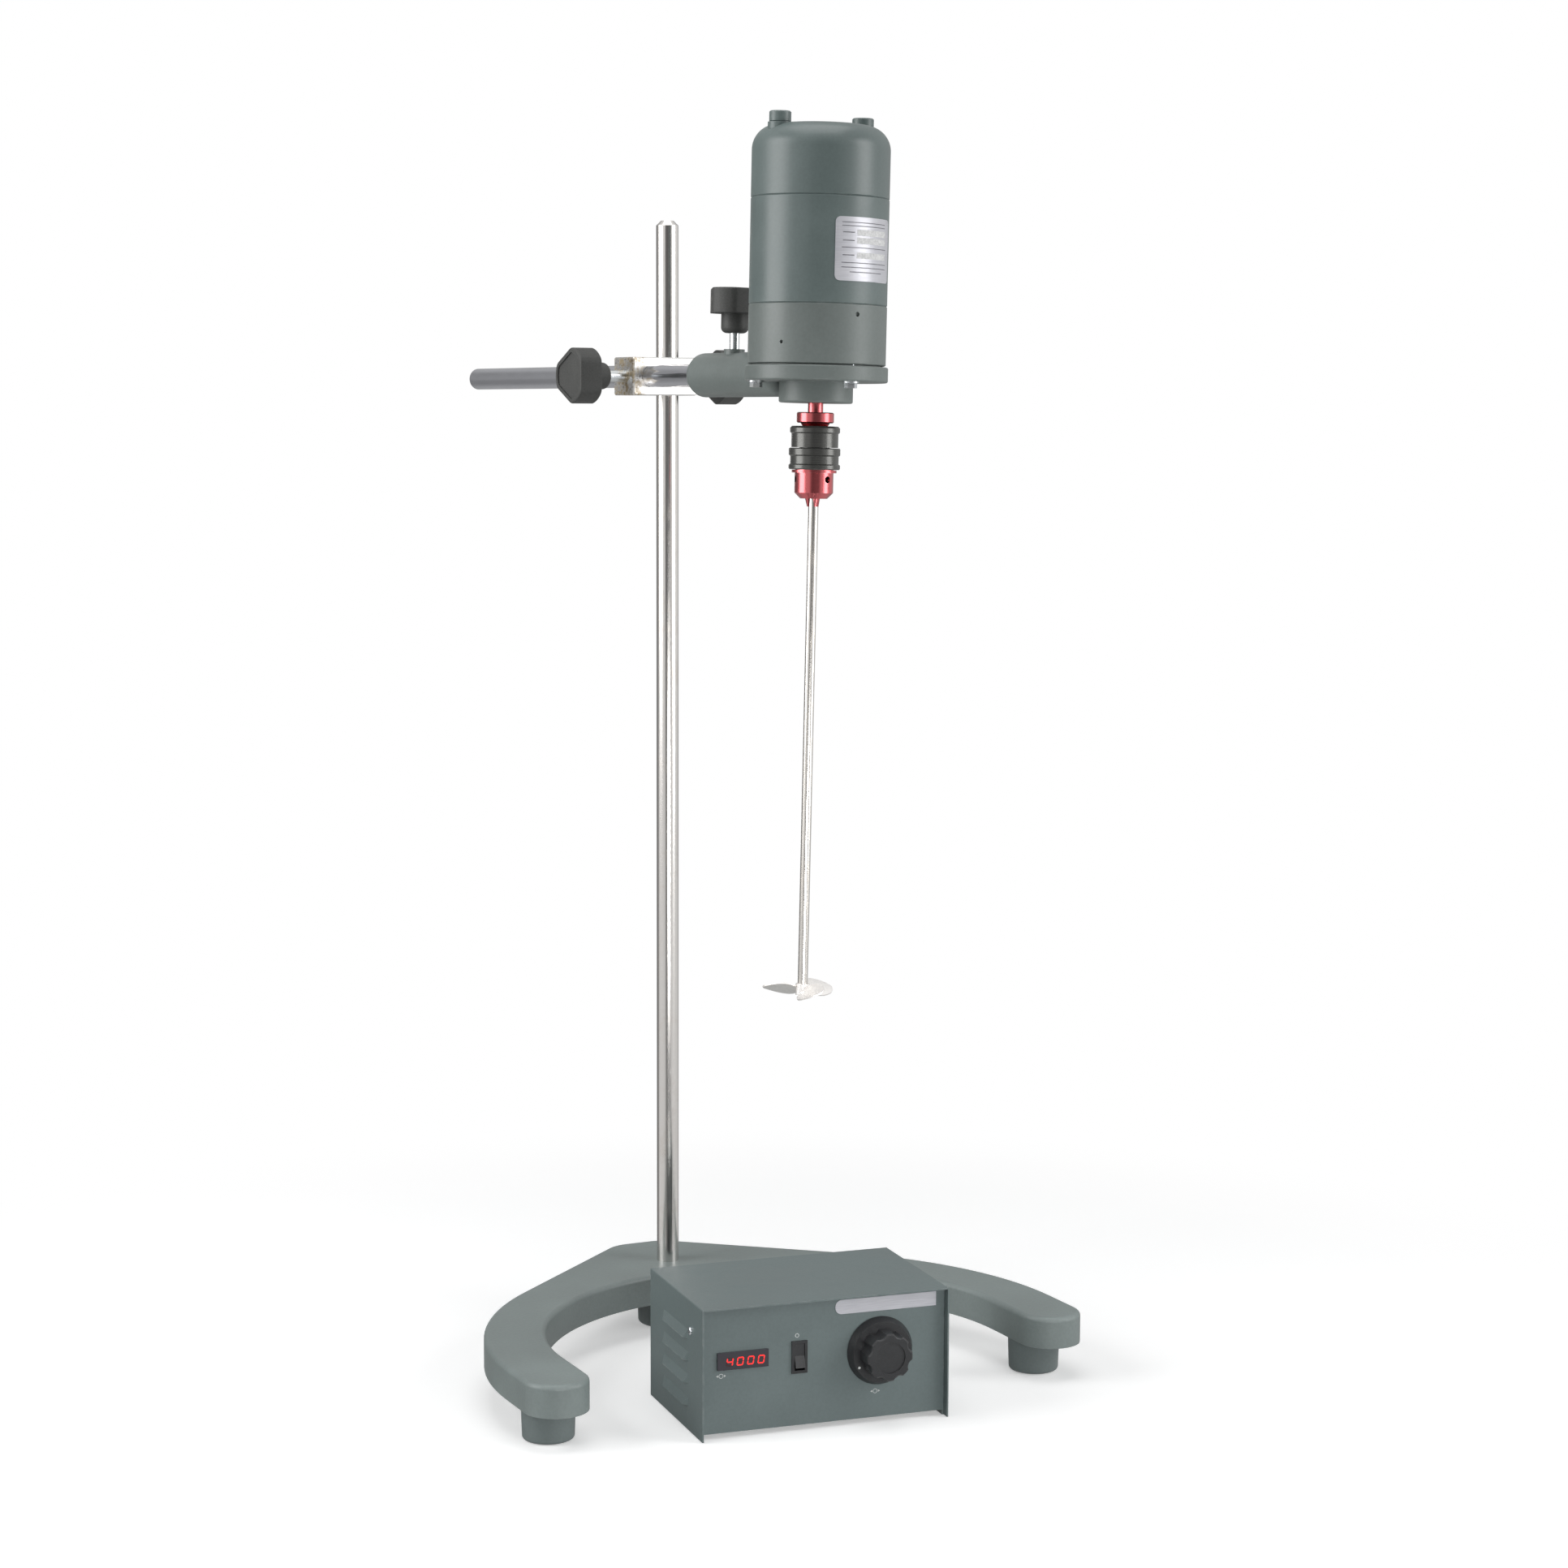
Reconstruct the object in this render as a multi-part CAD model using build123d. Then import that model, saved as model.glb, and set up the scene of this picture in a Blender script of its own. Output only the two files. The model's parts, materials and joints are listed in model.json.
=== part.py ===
"""Overhead laboratory stirrer: stand, boss head, cross rod, motor, chuck, propeller, speed regulator.

Millimetres, +Z up. The origin is where the column's axis meets the bench. The stand opens towards -Y.
The head (boss head, cross rod, motor and all they carry) is drawn square to X and Y and then turned
about the column by head_turn.
"""
from build123d import *
import math
import os

# ---------------------------------------------------------------- driving dimensions
# Shared bar stock and clearances
rod_radius = 9.5
slide_clearance = 0.08
turn_clearance = 0.05
thread_clearance = 0.05
contact_gap = 0.1
bolt_clearance = 0.3

# Stand: horseshoe casting on three pads
base_top = 55.0
base_thickness = 26.0
base_half_width = 246.0
flank_radius = 261.0
flank_centre_y = -243.0
rear_y = 68.0
rear_half_width = 23.0
rear_corner_radius = 30.0
tip_y = -309.0
opening_radius = 194.0
opening_centre_y = -235.0
base_edge_radius = 4.0
front_foot_x = 218.0
front_foot_y = -262.0
front_foot_radius = 20.5
foot_taper = 1.0
foot_edge_radius = 3.0
rear_foot_radius = 26.0
nut_pocket_radius = 16.5
nut_pocket_floor = 7.0

# Column and the nut that holds it down
column_length = 900.0
column_end_chamfer = 4.0
spigot_radius = 8.0
column_nut_across_flats = 24.0
column_nut_height = 13.0
column_washer_radius = 15.0
column_washer_thickness = 2.5

# Boss head: square bar with two crossed bores and a clamping screw in each end
head_turn = 8.0
cross_height = 769.0
boss_width = 32.0
boss_left_x = -43.5
boss_right_x = 19.5
boss_edge = 1.2
cross_rod_x = -25.0
boss_stud_radius = 5.0

# Tri-lobe clamping knobs, all three alike
knob_radius = 23.5
knob_flat_reach = 19.6
knob_corner_radius = 8.0
knob_head_height = 20.0
knob_head_edge = 1.6
knob_hub_height = 16.0
knob_hub_radius = 11.2
knob_hub_round = 4.5
knob_rim_width = 4.0
knob_dish_depth = 1.2
knob_stud_depth = 22.0
knob_lobes = 3
left_knob_standoff = 17.0
right_knob_standoff = 12.5

# Cross rod and motor arm
cross_rod_rear_y = 290.0
cross_rod_front_y = -184.0
rod_end_chamfer = 2.0
arm_swing = 1.25
arm_radius = 18.0
arm_rear_y = -92.0
arm_front_y = -222.0
arm_end_radius = 9.0
arm_bore_margin = 2.0
arm_knob_y = -142.0
arm_knob_height = 33.5
arm_stud_radius = 4.0
arm_boss_height = 2.5
arm_boss_radius = 8.5
arm_motor_clearance = 1.2
motor_y = -260.0
flange_radius = 56.0
flange_top = 5.5
flange_thickness = 12.0
neck_boss_radius = 29.0
neck_boss_bottom = -23.0
neck_bore_radius = 8.0
casting_edge = 1.5
motor_bolt_circle_radius = 47.0
motor_bolt_count = 3
motor_bolt_start_angle = -90.0
motor_bolt_radius = 3.0
motor_bolt_head_radius = 5.0
motor_bolt_head_height = 4.0
motor_bolt_washer_radius = 6.2
motor_bolt_washer_thickness = 1.2

# Motor casing
motor_radius = 54.0
motor_wall = 3.0
seat_step = 1.0
seat_radius = 50.0
bell_floor = 5.0
bell_screw_holes = ((-90.0, 44.5, 1.8), (-155.0, 22.5, 1.4))
bell_top = 52.5
shell_top = 134.5
motor_top = 190.5
dome_edge_radius = 19.0
seam_chamfer = 0.7
bearing_width = 11.0
bearing_radius = 17.5
bearing_cup_wall = 3.0
bearing_race = 3.5
upper_bearing_height = 168.0
tie_bolt_offset = 39.0
tie_bolt_radius = 2.5
tie_bolt_pad_radius = 9.5
cap_nut_radius = 8.5
cap_nut_height = 8.5
lead_gland_angle = 56.0
lead_gland_height = 30.0
lead_gland_radius = 8.0
lead_gland_length = 14.0

# Motor inside
shaft_radius = 6.0
bearing_seat_radius = 7.5
field_bottom = 72.0
field_height = 42.0
field_inner_radius = 31.5
field_yoke_inner_radius = 42.0
pole_half_angle = 50.0
pole_shoe_thickness = 4.0
pole_neck_half_width = 15.0
coil_thickness = 7.0
air_gap = 0.6
armature_slots = 12
armature_slot_width = 3.0
armature_slot_depth = 8.0
end_turn_radius = 26.0
end_turn_height = 9.0
commutator_radius = 14.0
commutator_height = 16.0
commutator_bottom = 139.0
brush_half_width = 3.0
brush_half_height = 5.0
brush_length = 16.0
brush_wall = 1.2
brush_ring_inner_radius = 36.0
brush_ring_thickness = 4.0
fan_bottom = 52.0
fan_radius = 35.0
fan_blade_height = 9.0
fan_blade_count = 9

# Chuck, measured down from the cross rod's axis
arbor_top = -15.0
arbor_neck_radius = 6.0
arbor_collar_top = -30.3
arbor_collar_bottom = -38.5
arbor_collar_radius = 14.6
arbor_cone_bottom = -41.0
arbor_cone_radius = 10.0
shaft_stub_radius = 4.0
shaft_stub_bottom = -57.0
rear_grip_bottom = -57.6
grip_radius = 19.6
grip_band_depth = 1.2
chuck_core_radius = 12.0
sleeve_top = -58.0
sleeve_bottom = -74.8
sleeve_radius = 20.2
sleeve_wall = 2.6
nose_top = -72.8
nose_radius = 15.2
nose_bottom = -97.4
nose_chamfer = 4.5
nose_ring_radius = 17.6
nose_ring_height = 2.2
key_hole_radius = 2.7
key_hole_height = -82.4
jaw_tip = -103.7
jaw_top = -66.5
jaw_angle = 15.0
jaw_start_angle = 30.0
key_hole_start_angle = -80.0
jaw_radius = 2.8
jaw_tip_wall = 0.85
jaw_travel = 3.6
jaw_count = 3

# Stirring shaft and propeller
stirrer_radius = 4.0
stirrer_top = -67.0
stirrer_bottom = -492.0
propeller_radius = 32.0
propeller_hub_radius = 5.6
propeller_hub_height = 9.0
blade_count = 3
blade_start_angle = 15.0
blade_thickness = 1.2

# Speed regulator box
box_width = 206.0
box_depth = 134.0
box_height = 105.0
box_x = -6.0
box_y = -271.0
box_turn = -6.2
sheet = 1.2
panel_setback = 7.0
chassis_foot = 4.0
cover_gap = 0.2
louvre_count = 4
louvre_length = 62.0
louvre_height = 6.0
louvre_stand = 3.0
louvre_pitch = 18.0
louvre_drop = 6.0
louvre_end_slope = 5.0
window_x = -68.0
window_z = 61.5
window_width = 42.0
window_height = 14.0
window_thickness = 2.0
display_depth = 8.3
display_gap = 0.3
card_margin = 7.0
card_hole_inset = 3.0
card_post_radius = 1.6
switch_x = -21.0
switch_z = 59.0
switch_width = 13.0
switch_height = 26.0
switch_depth = 20.0
switch_bezel = 1.5
switch_well_wall = 4.5
switch_well_depth = 13.0
rocker_tilt = 9.0
dial_x = 46.5
dial_z = 58.0
dial_radius = 27.5
dial_skirt = 6.0
dial_grip_radius = 19.5
dial_grip_height = 17.0
dial_lobes = 8
dial_shaft_radius = 3.0
pot_bush_radius = 4.5
pot_radius = 12.5
pot_depth = 12.0
board_width = 86.0
board_depth = 64.0
board_thickness = 1.6
board_post_radius = 3.0
board_screw_radius = 1.4
board_lift = 8.0
board_x = -45.0
board_y = 8.0
board_hole_inset = 6.0
transformer_x = 52.0
transformer_y = 6.0
transformer_foot_reach = 32.0
rear_row_z = 32.0
inlet_x = -70.0
outlet_x = -35.0
fuse_x = 60.0
inlet_radius = 6.0
fuse_radius = 6.0
flange_width = 30.0
cover_screw_radius = 1.7
cover_screw_z = 81.5
cover_screw_inset = 22.0

# ---------------------------------------------------------------- derived places
base_bottom = base_top - base_thickness
cross_z = base_top + cross_height
column_top = base_top + column_length
bore_radius = rod_radius + slide_clearance
bell_bottom = flange_top + seat_step

head_place = Rot(0, 0, head_turn)
rod_place = head_place * Pos(cross_rod_x, 0, cross_z)
arm_place = rod_place * Rot(0, arm_swing, 0)
motor_axis = Pos(0, motor_y, 0)
motor = arm_place * motor_axis
box_place = Pos(box_x, box_y, 0) * Rot(0, 0, box_turn)

ON_FLOOR = (Align.CENTER, Align.CENTER, Align.MIN)
BEHIND = (Align.CENTER, Align.MIN, Align.CENTER)


# ---------------------------------------------------------------- small helpers
def rod_z(radius, bottom, top):
    """A round bar along Z from bottom to top."""
    return Pos(0, 0, bottom) * Cylinder(radius, top - bottom, align=ON_FLOOR)


def tube_z(outer, inner, bottom, top):
    """A round tube along Z."""
    return rod_z(outer, bottom, top) - rod_z(inner, bottom - 1, top + 1)


def rod_y(radius, start, end):
    """A round bar along Y from start to end."""
    return Rot(90, 0, 0) * rod_z(radius, -end, -start)


def rod_x(radius, start, end):
    """A round bar along X from start to end."""
    return Rot(0, 90, 0) * rod_z(radius, start, end)


def turned(points):
    """A solid turned about Z from (radius, height) points."""
    face = make_face(Polyline(*[(r, 0, z) for r, z in points], close=True))
    return revolve(face, Axis.Z)


def around(count, make, start=0.0):
    """Copies of one solid spread evenly about Z."""
    return [Rot(0, 0, start + i * 360 / count) * make for i in range(count)]


def hexagon_nut(across_flats, bore, bottom, top):
    """A hexagon nut along Z."""
    prism = extrude(RegularPolygon(across_flats / 2, 6, major_radius=False), top - bottom)
    return Pos(0, 0, bottom) * prism - rod_z(bore, bottom - 1, top + 1)


nodes = {}


def keep(name, shape, place=Pos(0, 0, 0)):
    """Put one node where it belongs; a list of shapes is a group of separate solids in one node."""
    pieces = shape if isinstance(shape, list) else [shape]
    solids = [place * solid for piece in pieces for solid in piece.solids()]
    nodes[name] = Compound(solids) if len(solids) > 1 else solids[0]


# ---------------------------------------------------------------- stand
def base_outline():
    """Half of the horseshoe's outline, from the rear centre round one arm to the opening's centre."""
    centre = Vector(base_half_width - flank_radius, flank_centre_y)
    corner = Vector(rear_half_width, rear_y)
    reach = corner - centre
    slant = math.acos(flank_radius / reach.length)
    bearing = math.atan2(reach.Y, reach.X) - slant
    arc_mid = bearing / 2
    tip_radius = (base_half_width - opening_radius) / 2
    tip_centre = (opening_radius + tip_radius, tip_y + tip_radius)

    def on_flank(angle):
        return (centre.X + flank_radius * math.cos(angle), centre.Y + flank_radius * math.sin(angle))

    quarter = opening_radius * math.sqrt(0.5)
    edges = Line((0, rear_y), (corner.X, corner.Y))
    edges += Line((corner.X, corner.Y), on_flank(bearing))
    edges += ThreePointArc(on_flank(bearing), on_flank(arc_mid), on_flank(0))
    edges += Line(on_flank(0), (base_half_width, tip_centre[1]))
    outer_end = (base_half_width, tip_centre[1])
    inner_end = (opening_radius, tip_centre[1])
    edges += ThreePointArc(outer_end, (tip_centre[0], tip_y), inner_end)
    edges += Line((opening_radius, tip_centre[1]), (opening_radius, opening_centre_y))
    edges += ThreePointArc(
        (opening_radius, opening_centre_y),
        (quarter, opening_centre_y + quarter),
        (0, opening_centre_y + opening_radius),
    )
    edges += Line((0, opening_centre_y + opening_radius), (0, rear_y))
    return edges


def base_casting():
    """The cast horseshoe, bored for the column's spigot."""
    half = make_face(base_outline())
    plan = half + mirror(half, about=Plane.YZ)
    plate = Pos(0, 0, base_bottom) * extrude(plan, base_thickness)
    corners = plate.edges().filter_by(Axis.Z).filter_by_position(Axis.Y, rear_y - 0.1, rear_y + 0.1)
    plate = fillet(corners, rear_corner_radius)
    rim = plate.faces().sort_by(Axis.Z)[-1].outer_wire().edges()
    plate = fillet(rim, base_edge_radius)
    return plate - rod_z(spigot_radius + turn_clearance, base_bottom - 1, base_top + 1)


def foot_pads():
    """Two plain pads under the arms, and a hollow one under the column that clears its nut."""

    def pad(radius):
        cone = Cone(radius, radius + foot_taper, base_bottom, align=ON_FLOOR)
        return fillet(cone.faces().sort_by(Axis.Z)[0].edges(), foot_edge_radius)

    front = [Pos(side * front_foot_x, front_foot_y, 0) * pad(front_foot_radius) for side in (-1, 1)]
    rear = pad(rear_foot_radius) - rod_z(nut_pocket_radius, nut_pocket_floor, base_bottom + 1)
    return front + [rear]


washer_bottom = base_bottom - column_washer_thickness
nut_bottom = washer_bottom - column_nut_height


def column():
    """The column rod, stepped down to a spigot that passes through the base."""
    bar = rod_z(rod_radius, base_top, column_top)
    bar = chamfer(bar.edges().sort_by(Axis.Z)[-1], column_end_chamfer)
    return bar + rod_z(spigot_radius, nut_bottom - 1.5, base_top)


keep("base_casting", base_casting())
keep("foot_pads", foot_pads())
keep("column_rod", column())
spigot_hole = spigot_radius + thread_clearance
keep("column_washer", tube_z(column_washer_radius, spigot_hole, washer_bottom, base_bottom))
keep("column_nut", hexagon_nut(column_nut_across_flats, spigot_hole, nut_bottom, washer_bottom))


# ---------------------------------------------------------------- knobs and studs
def lobed_plan(radius, flat_reach, corner_radius):
    """A circle with three flats, its corners rounded, so that three broad lobes are left."""
    flats = RegularPolygon(flat_reach, knob_lobes, major_radius=False)
    plan = Circle(radius) & Rot(0, 0, 90) * flats
    return fillet(plan.vertices(), corner_radius)


def lobed_knob(stud_radius):
    """A moulded knob standing on Z: its hub starts at z = 0, its head has a raised rim round a dish."""
    knob_top = knob_hub_height + knob_head_height
    plan = lobed_plan(knob_radius, knob_flat_reach, knob_corner_radius)
    head = Pos(0, 0, knob_hub_height) * extrude(plan, knob_head_height)
    head = fillet(head.faces().sort_by(Axis.Z)[-1].edges(), knob_head_edge)
    dish_plan = lobed_plan(
        knob_radius - knob_rim_width,
        knob_flat_reach - knob_rim_width,
        knob_corner_radius - knob_rim_width,
    )
    dish = Pos(0, 0, knob_top - knob_dish_depth) * extrude(dish_plan, 2 * knob_dish_depth)
    hub = rod_z(knob_hub_radius, 0, knob_hub_height)
    hub = fillet(hub.edges().sort_by(Axis.Z)[0], knob_hub_round)
    return head + hub - dish - rod_z(stud_radius + thread_clearance, -1, knob_stud_depth)


def clamp_stud(radius, reach):
    """A threaded stud on Z: its tip reaches down from the hub, its upper end sits in the knob."""
    bar = rod_z(radius, -reach, knob_stud_depth)
    return chamfer(bar.edges().sort_by(Axis.Z)[0], 1.0)


boss_bar_length = boss_right_x - boss_left_x
left_hub_x = boss_left_x - left_knob_standoff
right_hub_x = boss_right_x + right_knob_standoff
left_reach = cross_rod_x - rod_radius - contact_gap - left_hub_x
right_reach = right_hub_x - rod_radius - contact_gap


def boss_head():
    """Square bar, bored upright for the column, across for the cross rod, and tapped in both ends."""
    bar = Pos((boss_left_x + boss_right_x) / 2, 0, cross_z) * Box(boss_bar_length, boss_width, boss_width)
    bar = chamfer(bar.edges(), boss_edge)
    half = boss_width / 2 + 1
    bar -= rod_z(bore_radius, cross_z - half, cross_z + half)
    bar -= Pos(cross_rod_x, 0, cross_z) * rod_y(bore_radius, -half, half)
    tapped = boss_stud_radius + thread_clearance
    bar -= Pos(0, 0, cross_z) * rod_x(tapped, boss_left_x - 1, cross_rod_x)
    return bar - Pos(0, 0, cross_z) * rod_x(tapped, 0, boss_right_x + 1)


left_screw = head_place * Pos(left_hub_x, 0, cross_z) * Rot(0, -90, 0)
right_screw = head_place * Pos(right_hub_x, 0, cross_z) * Rot(0, 90, 0)
keep("boss_head", boss_head(), head_place)
keep("rod_clamp_stud", clamp_stud(boss_stud_radius, left_reach), left_screw)
keep("rod_clamp_knob", lobed_knob(boss_stud_radius), left_screw)
keep("column_clamp_stud", clamp_stud(boss_stud_radius, right_reach), right_screw)
keep("column_clamp_knob", lobed_knob(boss_stud_radius), right_screw)


# ---------------------------------------------------------------- cross rod and motor arm
def cross_rod():
    """Round bar along Y, chamfered at both ends."""
    bar = rod_y(rod_radius, cross_rod_front_y, cross_rod_rear_y)
    return chamfer(bar.edges().filter_by(GeomType.CIRCLE), rod_end_chamfer)


flange_bottom = flange_top - flange_thickness
arm_boss_top = arm_radius + arm_boss_height


def round_bolts(bolt):
    """One bolt or hole at each place of the motor's bolt circle."""
    return around(motor_bolt_count, Pos(motor_bolt_circle_radius, 0, 0) * bolt, motor_bolt_start_angle)


def motor_arm():
    """One casting: the arm that grips the rod, the round flange and the neck boss beneath it."""
    arm = rod_y(arm_radius, arm_front_y, arm_rear_y)
    arm = fillet(arm.edges().filter_by(GeomType.CIRCLE), arm_end_radius)
    arm += Pos(0, arm_knob_y, 0) * rod_z(arm_boss_radius, arm_radius / 2, arm_boss_top)
    arm -= motor_axis * rod_z(motor_radius + arm_motor_clearance, flange_top, arm_radius + 5)
    flange = rod_z(flange_radius, flange_bottom, flange_top)
    flange = fillet(flange.edges(), casting_edge)
    neck = rod_z(neck_boss_radius, neck_boss_bottom, flange_bottom)
    neck = fillet(neck.edges().sort_by(Axis.Z)[0], casting_edge)
    casting = arm + motor_axis * (flange + neck)
    casting -= motor_axis * rod_z(neck_bore_radius, neck_boss_bottom - 1, flange_top + 1)
    for hole in round_bolts(rod_z(motor_bolt_radius + bolt_clearance, flange_bottom - 1, flange_top + 1)):
        casting -= motor_axis * hole
    casting -= rod_y(bore_radius, cross_rod_front_y - arm_bore_margin, arm_rear_y + 1)
    tapped = rod_z(arm_stud_radius + thread_clearance, 0, arm_boss_top + 1)
    return casting - Pos(0, arm_knob_y, 0) * tapped


def motor_bolts():
    """Bolts up through the flange into the bell's floor, with washers and hexagon heads."""
    washer_bottom_z = flange_bottom - motor_bolt_washer_thickness
    head_bottom = washer_bottom_z - motor_bolt_head_height
    bolt = rod_z(motor_bolt_radius, washer_bottom_z, bell_bottom + bell_floor)
    bolt += rod_z(motor_bolt_washer_radius, washer_bottom_z, flange_bottom)
    hexagon = RegularPolygon(motor_bolt_head_radius, 6)
    bolt += Pos(0, 0, head_bottom) * extrude(hexagon, motor_bolt_head_height)
    return round_bolts(bolt)


arm_reach = arm_knob_height - rod_radius - contact_gap
arm_screw = arm_place * Pos(0, arm_knob_y, arm_knob_height)
keep("cross_rod", cross_rod(), rod_place)
keep("motor_arm", motor_arm(), arm_place)
keep("motor_bolts", motor_bolts(), motor)
keep("arm_clamp_stud", clamp_stud(arm_stud_radius, arm_reach), arm_screw)
keep("arm_clamp_knob", lobed_knob(arm_stud_radius), arm_screw)


# ---------------------------------------------------------------- motor casing
casing_bore = motor_radius - motor_wall
cup_radius = bearing_radius + bearing_cup_wall
lower_bearing_bottom = bell_bottom + bell_floor
bearing_fit = bearing_radius + thread_clearance


def lower_bell():
    """Lower end bell: a cup with the lower bearing's housing in its floor."""
    bell = rod_z(motor_radius, bell_bottom, bell_top)
    bell = chamfer(bell.edges(), seam_chamfer)
    bell += rod_z(seat_radius, flange_top, bell_bottom)
    bell -= rod_z(casing_bore, lower_bearing_bottom, bell_top + 1)
    bell += rod_z(cup_radius, lower_bearing_bottom - 1, lower_bearing_bottom + bearing_width)
    bell -= rod_z(bearing_fit, lower_bearing_bottom, bell_top)
    bell -= rod_z(bearing_seat_radius + 2, flange_top - 1, lower_bearing_bottom + 1)
    tapped_radius = motor_bolt_radius + thread_clearance
    for tapped in round_bolts(rod_z(tapped_radius, flange_top - 1, lower_bearing_bottom + 1)):
        bell -= tapped
    for angle, height, radius in bell_screw_holes:
        bell -= Rot(0, 0, angle) * Pos(0, 0, height) * rod_x(radius, motor_radius - 2, motor_radius + 1)
    gland_hole = rod_x(lead_gland_radius - 2 + thread_clearance, casing_bore - 2, motor_radius + 1)
    return bell - Rot(0, 0, lead_gland_angle) * Pos(0, 0, lead_gland_height) * gland_hole


def motor_shell():
    """Plain tube round the field, between the two end covers."""
    tube = tube_z(motor_radius, casing_bore, bell_top, shell_top)
    rims = tube.edges().filter_by(GeomType.CIRCLE).filter_by(lambda e: e.radius > casing_bore + 1)
    return chamfer(rims, seam_chamfer)


def top_cover():
    """Domed top cover with the upper bearing's housing and two pads for the tie bolts."""
    dome = rod_z(motor_radius, shell_top, motor_top)
    dome = fillet(dome.edges().sort_by(Axis.Z)[-1], dome_edge_radius)
    dome = chamfer(dome.edges().sort_by(Axis.Z)[0], seam_chamfer)
    hollow = rod_z(casing_bore, shell_top - 1, motor_top - motor_wall)
    hollow = fillet(hollow.edges().sort_by(Axis.Z)[-1], dome_edge_radius - motor_wall)
    dome -= hollow
    dome += rod_z(cup_radius, upper_bearing_height, motor_top - motor_wall + 0.5)
    dome -= rod_z(bearing_fit, upper_bearing_height - 1, upper_bearing_height + bearing_width)
    for side in (-1, 1):
        pad = rod_z(tie_bolt_pad_radius, motor_top - dome_edge_radius, motor_top)
        dome += Pos(side * tie_bolt_offset, 0, 0) * pad
        bolt_hole = rod_z(tie_bolt_radius + 0.3, shell_top, motor_top + 1)
        dome -= Pos(side * tie_bolt_offset, 0, 0) * bolt_hole
    return dome


def tie_bolts():
    """Two long studs from the bell's floor up through the cover."""
    stud = rod_z(tie_bolt_radius, lower_bearing_bottom, motor_top + cap_nut_height - 1.5)
    return [Pos(side * tie_bolt_offset, 0, 0) * stud for side in (-1, 1)]


def cap_nuts():
    """Round thumb nuts on the tie bolts, closed on top."""
    nut = rod_z(cap_nut_radius, motor_top, motor_top + cap_nut_height)
    nut = chamfer(nut.edges(), 0.8)
    nut -= rod_z(tie_bolt_radius + thread_clearance, motor_top - 1, motor_top + cap_nut_height - 1.5)
    return [Pos(side * tie_bolt_offset, 0, 0) * nut for side in (-1, 1)]


def lead_gland():
    """Screwed gland where the motor's lead enters; the lead itself is not part of the model."""
    body = rod_x(lead_gland_radius - 2, casing_bore - 2, motor_radius)
    hexagon = extrude(RegularPolygon(lead_gland_radius + 1, 6), 5)
    body += Pos(motor_radius, 0, 0) * Rot(0, 90, 0) * hexagon
    body += rod_x(lead_gland_radius, motor_radius + 5, motor_radius + lead_gland_length)
    body -= rod_x(3.0, casing_bore - 3, motor_radius + lead_gland_length + 1)
    return Rot(0, 0, lead_gland_angle) * Pos(0, 0, lead_gland_height) * body


keep("lower_bell", lower_bell(), motor)
keep("motor_shell", motor_shell(), motor)
keep("top_cover", top_cover(), motor)
keep("tie_bolts", tie_bolts(), motor)
keep("cap_nuts", cap_nuts(), motor)
keep("lead_gland", lead_gland(), motor)


# ---------------------------------------------------------------- motor inside
def bearing_pair(outer, inner):
    """The same ring once in each bearing housing."""
    seats = (lower_bearing_bottom, upper_bearing_height)
    return [tube_z(outer, inner, seat, seat + bearing_width) for seat in seats]


race_split = bearing_radius - bearing_race
inner_race_outside = race_split - 0.3


def field_core():
    """Laminated ring with two pole shoes, front and back, clear of the tie bolts."""
    ring = Circle(casing_bore - thread_clearance) - Circle(field_yoke_inner_radius)
    shoe_outer = field_inner_radius + pole_shoe_thickness
    wedge_reach = 2 * shoe_outer
    wedge_half = wedge_reach * math.tan(math.radians(pole_half_angle))
    poles = Sketch()
    for side in (90, -90):
        wedge = Rot(0, 0, side) * make_face(
            Polyline(
                (0, 0),
                (wedge_reach, wedge_half),
                (wedge_reach, -wedge_half),
                close=True,
            )
        )
        shoe = wedge & (Circle(shoe_outer) - Circle(field_inner_radius))
        neck_length = field_yoke_inner_radius - field_inner_radius
        neck = Rot(0, 0, side) * Pos(field_inner_radius + neck_length / 2 + 1, 0)
        neck *= Rectangle(neck_length, 2 * pole_neck_half_width)
        poles += shoe + neck
    return Pos(0, 0, field_bottom) * extrude(ring + poles, field_height)


def field_coils():
    """One coil round each pole neck, standing proud of the core above and below."""
    shoe_outer = field_inner_radius + pole_shoe_thickness
    inner = shoe_outer + 0.3
    outer = field_yoke_inner_radius - 0.3
    half = pole_neck_half_width + 0.3
    height = field_height + 2 * coil_thickness
    band = Circle(outer) - Circle(inner)
    coils = []
    for side in (90, -90):
        slab = Pos(outer, 0) * Rectangle(outer, 2 * (half + coil_thickness))
        outline = band & (Rot(0, 0, side) * slab)
        coil = Pos(0, 0, field_bottom - coil_thickness) * extrude(outline, height)
        window = Box(2 * half, 2 * motor_radius, field_height + 0.2)
        coils.append(coil - Pos(0, 0, field_bottom + field_height / 2) * window)
    return coils


def motor_shaft():
    """Stepped shaft: bearing seats, core seat and the threaded stub that carries the arbor."""
    core_radius = bearing_seat_radius - turn_clearance
    shaft = rod_z(shaft_radius - 1.0, arbor_top + 0.2, lower_bearing_bottom)
    shaft += rod_z(core_radius, lower_bearing_bottom, upper_bearing_height + bearing_width)
    return shaft + rod_z(shaft_stub_radius - thread_clearance, shaft_stub_bottom + 0.5, arbor_top + 0.2)


armature_radius = field_inner_radius - air_gap


def armature_core():
    """Slotted lamination stack pressed on the shaft."""
    plan = Circle(armature_radius) - Circle(bearing_seat_radius)
    slot = Pos(armature_radius - armature_slot_depth / 2 + 1, 0)
    slot *= Rectangle(armature_slot_depth + 2, armature_slot_width)
    for placed in around(armature_slots, slot):
        plan -= placed
    return Pos(0, 0, field_bottom) * extrude(plan, field_height)


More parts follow.
